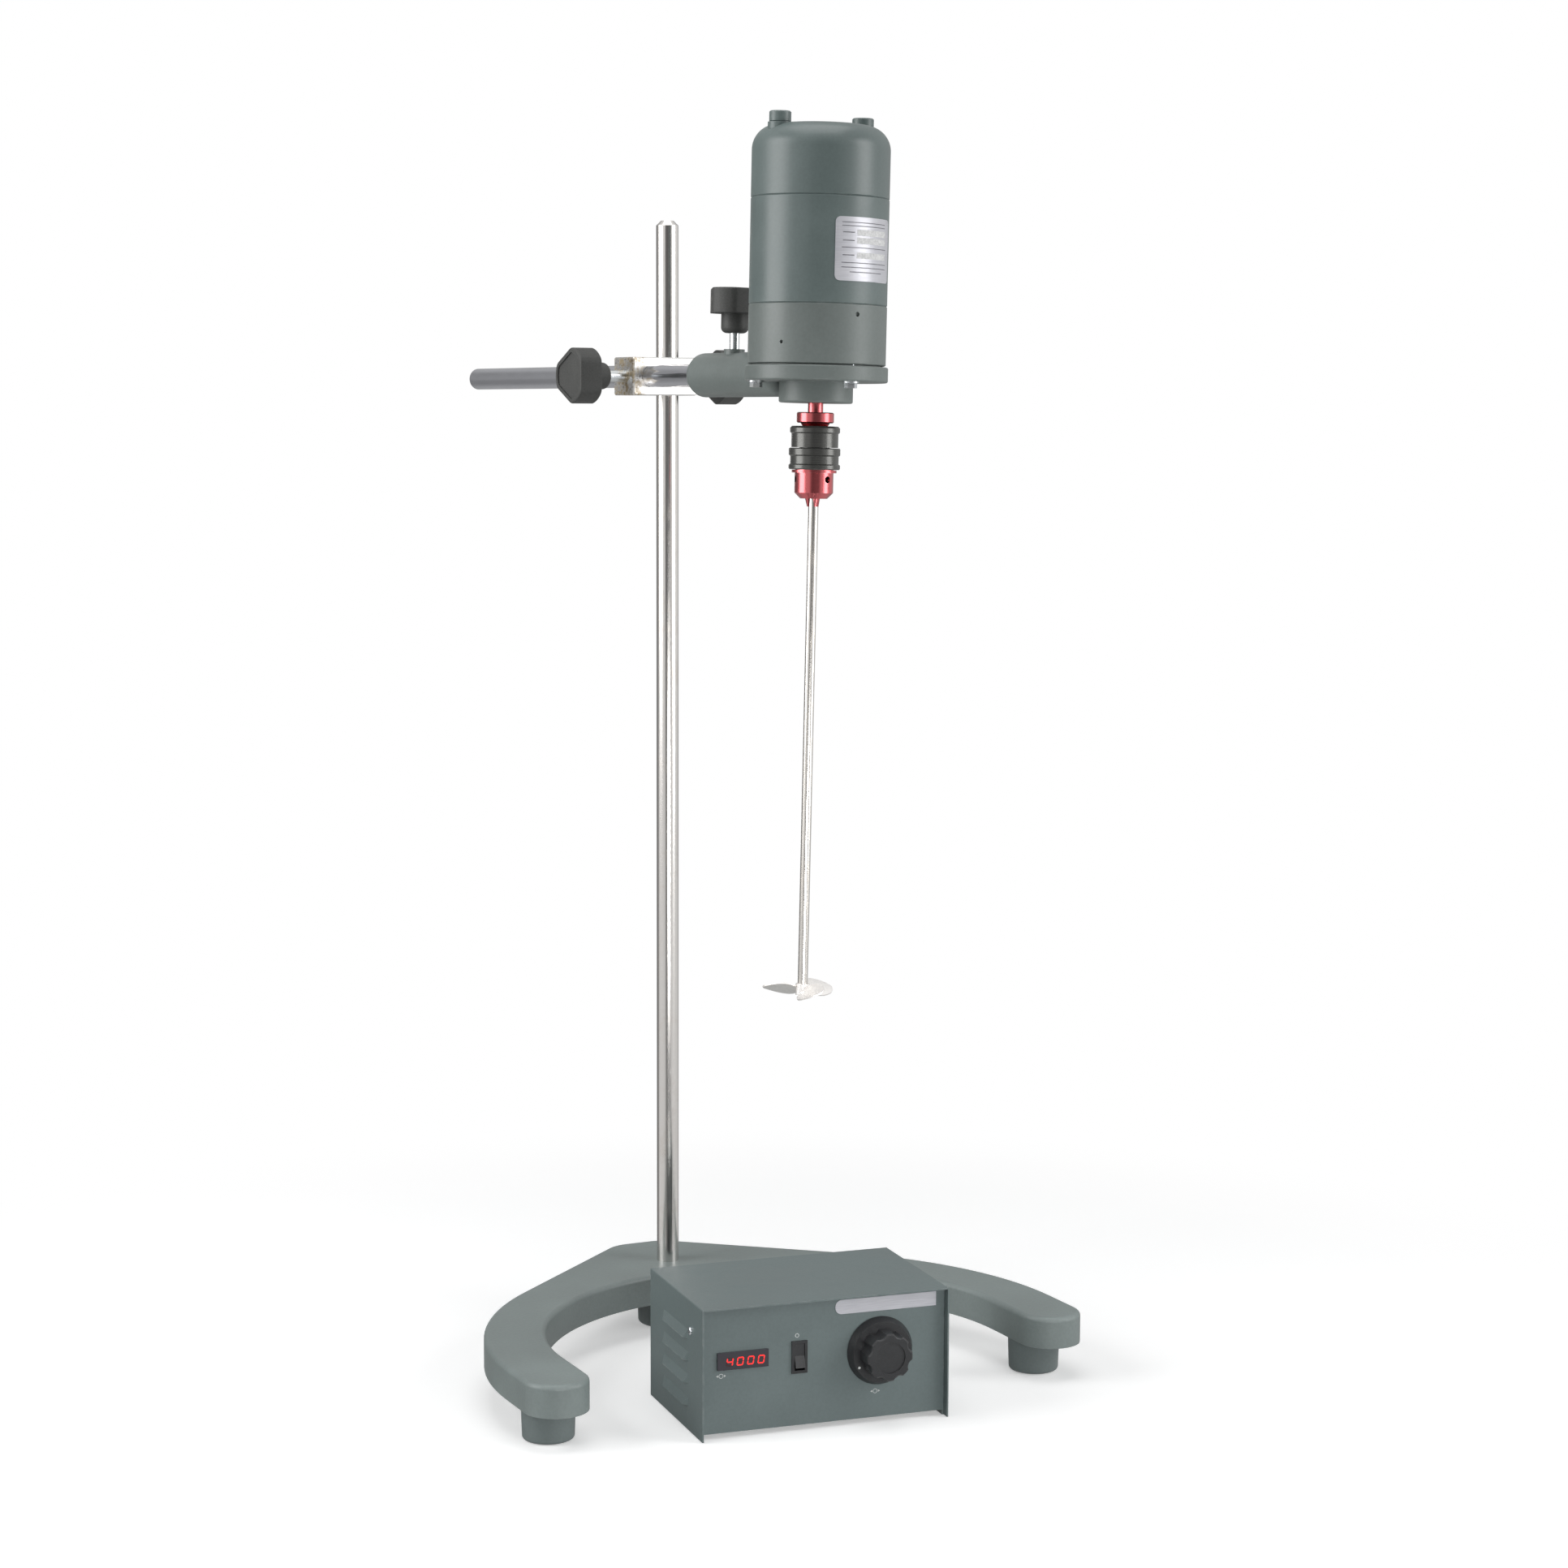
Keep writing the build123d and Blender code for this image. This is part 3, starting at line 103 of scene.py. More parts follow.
print("motor at", [round(v, 4) for v in spin["pos_m"]], "panel", round(panel_reach, 4), "m out")

# %% [markdown]
# The camera stands a little to the left of the stand's front, at chest height, and looks slightly
# down. A long lens keeps the column's sides parallel.

# %% Camera
camera_place = Vector((-1.1308, -2.5478, 0.7887))
camera_azimuth = 26.0
camera_pitch = 6.418
camera_roll = 0.2
sensor_width = 36.0
focal_pixels = 4000.0
frame_pixels = 1932.0

camera_data = bpy.data.cameras.new("camera")
camera_data.sensor_fit = "HORIZONTAL"
camera_data.sensor_width = sensor_width
camera_data.lens = sensor_width * focal_pixels / frame_pixels
camera = bpy.data.objects.new("camera", camera_data)
bpy.context.scene.collection.objects.link(camera)
heading = Matrix.Rotation(math.radians(-camera_azimuth), 4, "Z")
tilt = Matrix.Rotation(math.radians(90 - camera_pitch), 4, "X")
roll = Matrix.Rotation(math.radians(camera_roll), 4, "Z")
camera.matrix_world = Matrix.Translation(camera_place) @ heading @ tilt @ roll
bpy.context.scene.camera = camera
bpy.context.scene.view_settings.view_transform = "Standard"
print("lens", round(camera_data.lens, 2), "mm")

# %% [markdown]
# Every material below is a small network of nodes. One helper adds a node, sets its settings and
# feeds its sockets, either with a value or with the output of another node, so that a network reads
# as a short list.

# %% Helper for node networks
def lay(tree, kind, feeds=None, **settings):
    """Add one node to a tree; feeds maps a socket's name or number to a value or to another socket."""
    made = tree.nodes.new("ShaderNode" + kind)
    for setting, value in settings.items():
        setattr(made, setting, value)
    for socket, value in (feeds or {}).items():
        if isinstance(value, bpy.types.NodeSocket):
            tree.links.new(value, made.inputs[socket])
        else:
            made.inputs[socket].default_value = value
    return made


def blended(tree, factor, first, second):
    """Two colours mixed by a mask."""
    return lay(tree, "Mix", {0: factor, 6: first, 7: second}, data_type="RGBA").outputs[2]


def remapped(tree, value, low, high, out_low=0.0, out_high=1.0):
    """A value taken smoothly from one range to another."""
    feeds = {0: value, 1: low, 2: high, 3: out_low, 4: out_high}
    return lay(tree, "MapRange", feeds, interpolation_type="SMOOTHSTEP").outputs[0]


def worked(tree, operation, first, second=0.0):
    """One step of arithmetic on two values."""
    return lay(tree, "Math", {0: first, 1: second}, operation=operation).outputs[0]


def aligned(tree, direction, axis):
    """How far a direction points along an axis, from -1 to 1."""
    return lay(tree, "VectorMath", {0: direction, 1: axis}, operation="DOT_PRODUCT").outputs["Value"]


def own_place(tree):
    """Where a point lies on its own piece."""
    return lay(tree, "TexCoord").outputs["Object"]


def shade(colour):
    """A colour with full alpha, as a colour socket wants it."""
    return (*colour, 1.0)


white_light = shade((1, 1, 1))


# %% [markdown]
# ## The studio
#
# What lights the stirrer is a plain studio: bright at both sides and above, dim where the camera
# stands, and darker at the back left, where a grey screen stands. A round bar then shows the light
# and dark lines that make it read as metal. This light is a function of direction alone, and both the
# room and the bench use it. A fade is given by two numbers, each the share of a direction that points
# along the axis in question.

# %% Light of the studio by direction
dim_side = 0.12
bright_side = 0.82
far_side = 0.55
screen_light = 0.45
screen_angle = math.radians(130)
dim_turn = math.radians(8)
front_fade = (0.80, 0.95)
back_fade = (-0.40, -0.85)
screen_fade = (0.80, 0.93)
camera_turn = math.radians(camera_azimuth)
towards_camera = Vector((-math.sin(camera_turn), -math.cos(camera_turn), 0))
towards_dim = Matrix.Rotation(dim_turn, 3, "Z") @ towards_camera
towards_screen = Matrix.Rotation(-screen_angle, 3, "Z") @ towards_camera


def studio_light(tree, direction):
    """Strength of the studio's light from a direction."""
    facing = aligned(tree, direction, towards_dim)
    screening = aligned(tree, direction, towards_screen)
    front = remapped(tree, facing, *front_fade, bright_side, dim_side)
    back = remapped(tree, facing, *back_fade, 1.0, far_side)
    screen = remapped(tree, screening, *screen_fade, 1.0, screen_light)
    return worked(tree, "MULTIPLY", worked(tree, "MULTIPLY", front, back), screen)


print("the studio's light is set by direction")

# %% [markdown]
# The bench is one large pale floor. Near the stirrer it is an ordinary matt surface, so that the feet
# and the regulator throw their soft shadows on it. Further out it fades into plain white, and meets
# the white room with no line. To light that comes back from it, the bench is a good deal darker, so
# that undersides and the lower sides stay in shade, and a polished bar mirrors the room in it.

# %% Floor
floor_size = 14.0
floor_colour = (0.86, 0.86, 0.86)
floor_return = (0.34, 0.35, 0.35)
floor_lift = 0.34
floor_sheen = 0.85
fade_start = 0.52
fade_end = 0.95
fade_middle = (0.0, 0.17, 0.0)
floor_place = (0, -0.2, -0.5 * mm)

bpy.ops.mesh.primitive_plane_add(size=floor_size, location=floor_place)
floor = bpy.context.object
floor.name = "floor"
bpy.ops.object.transform_apply(location=True, rotation=True, scale=True)
floor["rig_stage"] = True

floor_paint = bpy.data.materials.new("bench_white")
floor_paint.use_nodes = True
tree = floor_paint.node_tree
tree.nodes.clear()
ray = lay(tree, "LightPath")
seen = worked(tree, "MAXIMUM", ray.outputs["Is Camera Ray"], ray.outputs["Is Transmission Ray"])
place = own_place(tree)
centred = lay(tree, "Mapping", {"Vector": place, "Location": fade_middle}).outputs[0]
distance = lay(tree, "VectorMath", {0: centred}, operation="LENGTH").outputs["Value"]
fade = worked(tree, "MULTIPLY", remapped(tree, distance, fade_start, fade_end), seen)
returned = blended(tree, seen, shade(floor_return), shade(floor_colour))
matt = lay(tree, "BsdfDiffuse", {"Color": returned})
incoming = lay(tree, "NewGeometry").outputs["Incoming"]
arriving = lay(tree, "VectorMath", {0: incoming, "Scale": -1.0}, operation="SCALE").outputs[0]
sheen = worked(tree, "MULTIPLY", studio_light(tree, arriving), floor_sheen)
mirrored = lay(tree, "Emission", {"Color": white_light, "Strength": sheen})
lifted = worked(tree, "MULTIPLY", seen, floor_lift)
lift = lay(tree, "Emission", {"Color": white_light, "Strength": lifted})
near = lay(tree, "AddShader", {0: matt.outputs[0], 1: lift.outputs[0]})
white = lay(tree, "Emission", {"Color": white_light, "Strength": 1.0})
both = lay(tree, "MixShader", {0: fade, 1: near.outputs[0], 2: white.outputs[0]})
in_metal = ray.outputs["Is Glossy Ray"]
whole = lay(tree, "MixShader", {0: in_metal, 1: both.outputs[0], 2: mirrored.outputs[0]})
lay(tree, "OutputMaterial", {"Surface": whole.outputs[0]})
floor.data.materials.append(floor_paint)
print("floor", floor_size, "m")

# %% [markdown]
# The room is white to look at. Polished metal mirrors the studio's light, and matt surfaces get the
# same light, only weaker. The world is asked which kind of ray arrives, and answers with one of the
# three.

# %% World
room_light = 0.25
room_tint = (0.97, 0.99, 1.0)

world = bpy.data.worlds.new("studio")
bpy.context.scene.world = world
world.use_nodes = True
tree = world.node_tree
tree.nodes.clear()
ray = lay(tree, "LightPath")
direction = lay(tree, "TexCoord").outputs["Generated"]
around = studio_light(tree, direction)
weaker = worked(tree, "MULTIPLY", around, room_light)
mirrored = lay(tree, "Background", {"Color": white_light, "Strength": around})
ambient = lay(tree, "Background", {"Color": shade(room_tint), "Strength": weaker})
plain = lay(tree, "Background", {"Color": white_light, "Strength": 1.0})
in_metal = ray.outputs["Is Glossy Ray"]
lit = lay(tree, "MixShader", {0: in_metal, 1: ambient.outputs[0], 2: mirrored.outputs[0]})
clear = worked(tree, "MAXIMUM", ray.outputs["Is Camera Ray"], ray.outputs["Is Transmission Ray"])
shown = lay(tree, "MixShader", {0: clear, 1: lit.outputs[0], 2: plain.outputs[0]})
lay(tree, "OutputWorld", {"Surface": shown.outputs[0]})
print("world set")

# %% [markdown]
# Four soft boxes light the stirrer: a tall one at each side, one overhead that sets the shadows under
# the base, and a small low one in front that opens up the regulator's panel.

# %% Lamps
def soft_box(name, azimuth, distance, height, width, tall, power, aim=(0.0, -0.15, 0.5)):
    """A rectangular lamp at an azimuth from the camera's side, aimed at the middle of the stirrer."""
    aim = Vector(aim)
    angle = math.radians(azimuth - camera_azimuth)
    spot = aim + Vector((math.sin(angle) * distance, -math.cos(angle) * distance, height))
    data = bpy.data.lights.new(name, "AREA")
    data.shape = "RECTANGLE"
    data.size = width
    data.size_y = tall
    data.energy = power
    lamp = bpy.data.objects.new(name, data)
    towards_aim = (aim - spot).to_track_quat("-Z", "Y").to_matrix().to_4x4()
    lamp.matrix_world = Matrix.Translation(spot) @ towards_aim
    lamp.visible_camera = False
    bpy.context.scene.collection.objects.link(lamp)
    return lamp


# name, azimuth in degrees, distance, height over the aim, width, tall in metres, power in watts
soft_box("left_box", -74, 2.1, 0.80, 1.5, 1.8, 36)
soft_box("right_box", 74, 2.3, 0.6, 1.1, 1.9, 26)
soft_box("top_box", 0, 0.25, 2.1, 1.6, 1.6, 18)
soft_box("front_box", 14, 1.2, 0.2, 0.7, 0.3, 5.8, aim=(0.02, -0.30, 0.05))

# %% [markdown]
# ## Shared effects
#
# A finish is more than a colour: paint has a skin, edges wear, hands leave marks, and a cutting tool
# leaves lines. Each of these is a node group, built once here and placed in every material that has
# it, each time with its own values. A group gives out only masks, colours and heights.

# %% Helpers for node groups
noise_span = (0.3, 0.7)  # a noise seldom leaves this range


def noise(tree, place, scale, detail, **more):
    """A noise over a place, from 0 to 1."""
    return lay(tree, "TexNoise", {"Vector": place, "Scale": scale, "Detail": detail, **more}).outputs[0]


def effect(name, takes, gives):
    """Start a node group with named inputs and outputs; returns the group and its two end nodes."""
    group = bpy.data.node_groups.new(name, "ShaderNodeTree")
    for socket, kind, value in takes:
        made = group.interface.new_socket(socket, in_out="INPUT", socket_type="NodeSocket" + kind)
        made.default_value = value
    for socket, kind in gives:
        group.interface.new_socket(socket, in_out="OUTPUT", socket_type="NodeSocket" + kind)
    return group, group.nodes.new("NodeGroupInput"), group.nodes.new("NodeGroupOutput")


def put_out(group, end, **values):
    """Link a group's results to its outputs."""
    for name, socket in values.items():
        group.links.new(socket, end.inputs[name])


# %% Paint skin
cloud_scale = 11.0
fleck_scale = 420.0
fleck_amount = 0.03
gloss_range = (-0.05, 0.06)

paint_skin, start, end = effect(
    "paint_skin",
    [("Colour", "Color", (0.2, 0.2, 0.2, 1)), ("Mottle", "Float", 0.1), ("Peel", "Float", 900.0)],
    [("Colour", "Color"), ("Gloss", "Float"), ("Height", "Float")],
)
spot = own_place(paint_skin)
cloud = noise(paint_skin, spot, cloud_scale, 5.0, Roughness=0.6)
fleck = noise(paint_skin, spot, fleck_scale, 2.0)
peel = noise(paint_skin, spot, start.outputs["Peel"], 2.0)
mottling = remapped(paint_skin, cloud, *noise_span, -1.0, 1.0)
tone = worked(paint_skin, "MULTIPLY", mottling, start.outputs["Mottle"])
flecks = remapped(paint_skin, fleck, *noise_span, -fleck_amount, fleck_amount)
tone = worked(paint_skin, "ADD", tone, flecks)
darker = lay(paint_skin, "VectorMath", {0: start.outputs["Colour"], "Scale": 1.0}, operation="SCALE")
paint_skin.links.new(worked(paint_skin, "ADD", tone, 1.0), darker.inputs["Scale"])
gloss = remapped(paint_skin, cloud, *noise_span, *gloss_range)
put_out(paint_skin, end, Colour=darker.outputs[0], Gloss=gloss, Height=peel)

# %% Hand marks and fine scratches
hair_turn = (0.4, 0.9, 0.3)
hair_stretch = (1.0, 16.0, 1.0)
hair_scale = 60.0
hair_span = (0.66, 0.72)
smudge_span = (0.48, 0.72)

hand_marks, start, end = effect(
    "hand_marks",
    [("Size", "Float", 18.0), ("Amount", "Float", 0.5)],
    [("Smudge", "Float"), ("Scratch", "Float")],
)
spot = own_place(hand_marks)
cloud = noise(hand_marks, spot, start.outputs["Size"], 6.0, Roughness=0.65, Distortion=0.6)
smudge = worked(hand_marks, "MULTIPLY", remapped(hand_marks, cloud, *smudge_span), start.outputs["Amount"])
slant = {"Vector": spot, "Rotation": hair_turn, "Scale": hair_stretch}
skewed = lay(hand_marks, "Mapping", slant).outputs[0]
hair = noise(hand_marks, skewed, hair_scale, 3.0)
line = remapped(hand_marks, hair, *hair_span)
scratch = worked(hand_marks, "MULTIPLY", line, start.outputs["Amount"])
put_out(hand_marks, end, Smudge=smudge, Scratch=scratch)

# %% [markdown]
# Edges are found by the Bevel node: where the surface turns sharply within its radius, the softened
# normal differs from the true one. A little noise breaks the line up, so that only the exposed
# corners are rubbed.

# %% Worn edges
edge_reach = 1.2 * mm
edge_span = (0.985, 0.80)  # how far the two normals agree: at an untouched place, at a rubbed one
chip_span = (0.42, 0.62)

worn_edges, start, end = effect(
    "worn_edges",
    [("Amount", "Float", 0.5), ("Break", "Float", 90.0)],
    [("Mask", "Float")],
)
soft = lay(worn_edges, "Bevel", {"Radius": edge_reach}, samples=4).outputs[0]
true_normal = lay(worn_edges, "NewGeometry").outputs["True Normal"]
edge = remapped(worn_edges, aligned(worn_edges, soft, true_normal), *edge_span)
chips = noise(worn_edges, own_place(worn_edges), start.outputs["Break"], 4.0)
mask = worked(worn_edges, "MULTIPLY", edge, remapped(worn_edges, chips, *chip_span))
put_out(worn_edges, end, Mask=worked(worn_edges, "MULTIPLY", mask, start.outputs["Amount"]))

# %% Tool lines
tool_lines, start, end = effect(
    "tool_lines",
    [
        ("Stretch", "Vector", (1.0, 1.0, 1.0)),
        ("Turn", "Vector", (0.0, 0.0, 0.0)),
        ("Fineness", "Float", 40.0),
    ],
    [("Line", "Float"), ("Height", "Float")],
)
turning = {"Vector": own_place(tool_lines), "Rotation": start.outputs["Turn"]}
turned = lay(tool_lines, "Mapping", turning).outputs[0]
pulling = {0: turned, 1: start.outputs["Stretch"]}
pulled = lay(tool_lines, "VectorMath", pulling, operation="MULTIPLY").outputs[0]
grain = noise(tool_lines, pulled, start.outputs["Fineness"], 2.0, Roughness=0.5)
put_out(tool_lines, end, Line=remapped(tool_lines, grain, *noise_span), Height=grain)
print("effects:", [group.name for group in bpy.data.node_groups])

# %% [markdown]
# ## Materials
#
# Three builders cover most of the stirrer: paint over metal, bare or plated metal, and moulded
# plastic. Each sets its constants on the shader's own sockets and feeds only what varies.

# %% Start of every material
coat_roughness = 0.15


def started(name, roughness, metallic=0.0, coat=0.0, specular=0.5):
    """A new material with its shader and output; constants sit on the shader's own sockets."""
    material = bpy.data.materials.new(name)
    material.use_nodes = True
    tree = material.node_tree
    tree.nodes.clear()
    constants = {"Roughness": roughness, "Metallic": metallic, "Coat Weight": coat}
    shader = lay(tree, "BsdfPrincipled", constants)
    shader.inputs["Specular IOR Level"].default_value = specular
    shader.inputs["Coat Roughness"].default_value = coat_roughness
    lay(tree, "OutputMaterial", {"Surface": shader.outputs[0]})
    return material, tree, shader


def bumped(tree, shader, height, strength, depth):
    """Send a height to the shader's normal."""
    bump = lay(tree, "Bump", {"Height": height, "Strength": strength, "Distance": depth})
    tree.links.new(bump.outputs[0], shader.inputs["Normal"])


# %% Paint over metal
rubbed_paint = (0.42, 0.44, 0.43)
paint_smudge_tint = 0.25
paint_smudge_gloss = 0.10
peel_strength = 0.35


def paint(name, colour, roughness, mottle, peel, peel_depth, wear):
    """Sprayed paint: a skin with slight orange peel, smudged by hands and rubbed at its edges."""
    material, tree, shader = started(name, roughness)
    sprayed = {"Colour": shade(colour), "Mottle": mottle, "Peel": peel}
    skin = lay(tree, "Group", sprayed, node_tree=paint_skin)
    marks = lay(tree, "Group", {"Size": 16.0, "Amount": 0.5}, node_tree=hand_marks)
    edges = lay(tree, "Group", {"Amount": wear, "Break": 120.0}, node_tree=worn_edges)
    smudged = worked(tree, "MULTIPLY", marks.outputs["Smudge"], paint_smudge_tint)
    dulled = blended(tree, smudged, skin.outputs["Colour"],
                     shade([channel * 1.18 + 0.01 for channel in colour]))
    worn = blended(tree, edges.outputs["Mask"], dulled, shade(rubbed_paint))
    tree.links.new(worn, shader.inputs["Base Color"])
    gloss = worked(tree, "ADD", skin.outputs["Gloss"], roughness)
    smeared = worked(tree, "MULTIPLY", marks.outputs["Smudge"], paint_smudge_gloss)
    gloss = worked(tree, "ADD", gloss, smeared)
    tree.links.new(gloss, shader.inputs["Roughness"])
    bumped(tree, shader, skin.outputs["Height"], peel_strength, peel_depth * mm)
    return material


stand_paint, shaded_foot_paint, casting_paint, motor_paint, case_paint = [paint(*row) for row in [
    # name, colour, roughness, mottle, scale of the peel, its depth in millimetres, wear of the edges
    ("stand_paint", (0.205, 0.240, 0.234), 0.44, 0.10, 420.0, 0.25, 0.55),
    # painted shade: the feet wear the base's own paint, made darker for the shade they stand in
    ("shaded_foot_paint", (0.145, 0.174, 0.172), 0.46, 0.10, 420.0, 0.25, 0.55),
    ("casting_paint", (0.160, 0.184, 0.176), 0.40, 0.07, 700.0, 0.15, 0.40),
    ("motor_paint", (0.131, 0.166, 0.162), 0.36, 0.06, 900.0, 0.10, 0.30),
    ("case_paint", (0.138, 0.174, 0.174), 0.42, 0.05, 1300.0, 0.08, 0.35),
]]
print("paints:", [m.name for m in bpy.data.materials if m.name.endswith("paint")])

# %% [markdown]
# Bare and plated metals differ in colour, in how far they are polished and in the lines left on them.
# Along a drawn bar the lines run lengthwise; on a turned piece they run round.

# %% Bare and plated metal
line_tint = 0.25
line_shade = 0.80
line_gloss = 0.06
smudge_gloss = 0.20
scratch_gloss = 0.10
line_strength = 0.10


def metal(name, colour, roughness, stretch, turn=(0, 0, 0), fineness=40.0, stain=None,
          stain_amount=0.3, depth=0.008 * mm):
    """Metal with tool lines, hand marks and, where it is given, a stain in another colour."""
    material, tree, shader = started(name, roughness, metallic=1.0)
    cut = {"Stretch": stretch, "Turn": turn, "Fineness": fineness}
    lines = lay(tree, "Group", cut, node_tree=tool_lines)
    marks = lay(tree, "Group", {"Size": 22.0, "Amount": stain_amount}, node_tree=hand_marks)
    dark = shade([channel * line_shade for channel in colour])
    lined = worked(tree, "MULTIPLY", lines.outputs["Line"], line_tint)
    toned = blended(tree, lined, shade(colour), dark)
    stained = shade(stain or [channel * 0.6 for channel in colour])
    spotted = blended(tree, marks.outputs["Smudge"], toned, stained)
    tree.links.new(spotted, shader.inputs["Base Color"])
    gloss = worked(tree, "MULTIPLY", lines.outputs["Line"], line_gloss)
    gloss = worked(tree, "ADD", gloss, roughness - line_gloss / 2)
    for mark, amount in (("Smudge", smudge_gloss), ("Scratch", scratch_gloss)):
        gloss = worked(tree, "ADD", gloss, worked(tree, "MULTIPLY", marks.outputs[mark], amount))
    tree.links.new(gloss, shader.inputs["Roughness"])
    bumped(tree, shader, lines.outputs["Height"], line_strength, depth)
    return material


along_z = (14.0, 14.0, 0.35)
along_rod = (14.0, 0.35, 14.0)
across_blade = (6.0, 1.0, 1.0)
round_z = (1.0, 1.0, 30.0)
polish = 0.001 * mm
column_steel = metal(
    "column_steel", (0.78, 0.755, 0.73), 0.20, along_z, fineness=14.0,
    stain=(0.50, 0.43, 0.36), stain_amount=0.35, depth=polish,
)
cross_rod_steel = metal(
    "cross_rod_steel", (0.70, 0.71, 0.75), 0.19, along_rod, turn=(0, 0, -head_turn), fineness=14.0,
    depth=polish,
)
shaft_steel = metal(
    "shaft_steel", (0.76, 0.73, 0.69), 0.21, along_z, fineness=24.0,
    stain=(0.55, 0.48, 0.40), stain_amount=0.4, depth=polish,
)
blade_steel = metal(
    "blade_steel", (0.92, 0.90, 0.88), 0.55, across_blade, fineness=40.0,
    stain=(0.62, 0.57, 0.51), depth=polish,
)
zinc_plate = metal(
    "zinc_plate", (0.66, 0.69, 0.71), 0.27, round_z, fineness=60.0, stain=(0.50, 0.48, 0.38),
)
gear_steel = metal("gear_steel", (0.62, 0.62, 0.63), 0.30, round_z, fineness=50.0)
brass_fitting = metal(
    "brass_fitting", (0.76, 0.60, 0.30), 0.30, round_z, fineness=50.0, stain=(0.40, 0.28, 0.14),
)
metal_names = ("steel", "plate", "fitting")
print("metals:", [m.name for m in bpy.data.materials if m.name.endswith(metal_names)])

# %% [markdown]
# The boss head is bright chrome over steel. Its plating has suffered round the clamp screw at its
# left end, where dark pits show. That end is also brown and darker: partly the plating has really
# tarnished there, and partly it is a painted reflection of the black clamp knob. A mask along the head's
# own length keeps both to that end.

# %% Chrome of the boss head
left_end = -43.5 * mm
tarnish_and_reflection_reach = 16 * mm
tarnish_and_reflection_full = 4 * mm
tarnish_and_reflection_scale = 140.0
tarnish_and_reflection_span = (0.40, 0.62)
pit_scale = 520.0
pit_span = (0.60, 0.68)
chrome_roughness = 0.24
bright_chrome = (0.74, 0.735, 0.72)
# brown for tarnished plating and for the clamp knob's painted reflection
tarnish_and_reflection_brown = (0.42, 0.34, 0.22)
pitted_chrome = (0.16, 0.13, 0.10)

boss_chrome, tree, shader = started("boss_chrome", chrome_roughness, metallic=1.0)
spot = own_place(tree)
own = lay(tree, "Mapping", {"Vector": spot, "Rotation": (0, 0, head_turn)}).outputs[0]
along = lay(tree, "SeparateXYZ", {0: own}).outputs["X"]
near_end = remapped(tree, along, left_end + tarnish_and_reflection_reach, left_end + tarnish_and_reflection_full)
cloud = noise(tree, spot, tarnish_and_reflection_scale, 6.0, Roughness=0.7)
pits = noise(tree, spot, pit_scale, 3.0)
tarnish_and_reflection_mask = worked(tree, "MULTIPLY", near_end, remapped(tree, cloud, *tarnish_and_reflection_span))
pitted = worked(tree, "MULTIPLY", near_end, remapped(tree, pits, *pit_span))
# painted reflection over tarnished plating: the left end turns brown and darker where the black clamp knob
# is mirrored
chrome_tone = blended(tree, tarnish_and_reflection_mask, shade(bright_chrome), shade(tarnish_and_reflection_brown))
chrome_tone = blended(tree, pitted, chrome_tone, shade(pitted_chrome))
tree.links.new(chrome_tone, shader.inputs["Base Color"])
marks = lay(tree, "Group", {"Size": 30.0, "Amount": 0.4}, node_tree=hand_marks)
gloss = worked(tree, "ADD", worked(tree, "MULTIPLY", tarnish_and_reflection_mask, 0.25), chrome_roughness)
gloss = worked(tree, "ADD", gloss, worked(tree, "MULTIPLY", marks.outputs["Smudge"], smudge_gloss))
tree.links.new(gloss, shader.inputs["Roughness"])
bumped(tree, shader, pits, 0.15, 0.04 * mm)
print("boss head chrome, tarnished over", tarnish_and_reflection_reach, "m")

# %% [markdown]
# Anodised aluminium is metal under a dyed, glass-hard skin. The dye thins at the corners, so the
# worn edges let a paler metal through.

# %% Anodised aluminium
dye_line_tint = 0.12
dye_line_shade = 0.72
dye_line_gloss = 0.03


def anodised(name, colour, roughness, thin, metallic=1.0):
    """Dyed aluminium with turned lines, paler at its edges."""
    material, tree, shader = started(name, roughness, metallic=metallic, coat=0.25)
    lines = lay(tree, "Group", {"Stretch": round_z, "Fineness": 70.0}, node_tree=tool_lines)
    edges = lay(tree, "Group", {"Amount": 0.35, "Break": 260.0}, node_tree=worn_edges)
    lined = worked(tree, "MULTIPLY", lines.outputs["Line"], dye_line_tint)
    toned = blended(tree, lined, shade(colour), shade([channel * dye_line_shade for channel in colour]))
    worn = blended(tree, edges.outputs["Mask"], toned, shade(thin))
    tree.links.new(worn, shader.inputs["Base Color"])
    gloss = worked(tree, "MULTIPLY", lines.outputs["Line"], dye_line_gloss)
    gloss = worked(tree, "ADD", gloss, roughness - dye_line_gloss / 2)
    tree.links.new(gloss, shader.inputs["Roughness"])
    bumped(tree, shader, lines.outputs["Height"], line_strength, polish)
    return material


red_dye = (0.60, 0.13, 0.14)
red_thin = (0.85, 0.50, 0.50)
red_roughness = 0.23
red_anodise = anodised("red_anodise", red_dye, red_roughness, red_thin)
black_anodise = anodised("black_anodise", (0.085, 0.085, 0.080), 0.28, (0.30, 0.30, 0.29), metallic=0.6)
jaw_steel = anodised("jaw_steel", (0.50, 0.12, 0.13), 0.26, (0.70, 0.40, 0.40))
print("anodised:", red_anodise.name, black_anodise.name, jaw_steel.name)

# %% [markdown]
# The chuck's body carries the same red dye. Its groove between the rear grip and the sleeve, and the
# key hole in the nose, are given painted shade: near black, for the shade that falls in them. Two masks
# find them. One is a band of height; the other is what lies closer to the motor's axis than the skin of
# the nose does.

# %% Anodised body with painted shade in its hollows
grip_overlap = 2 * mm
sleeve_overlap = 3 * mm
below_sleeve = 5 * mm
above_chamfer = 6 * mm
skin_radius = 13.5 * mm
# near black, painted as shade into the groove and the bore
painted_shade_black = (0.050, 0.050, 0.048)

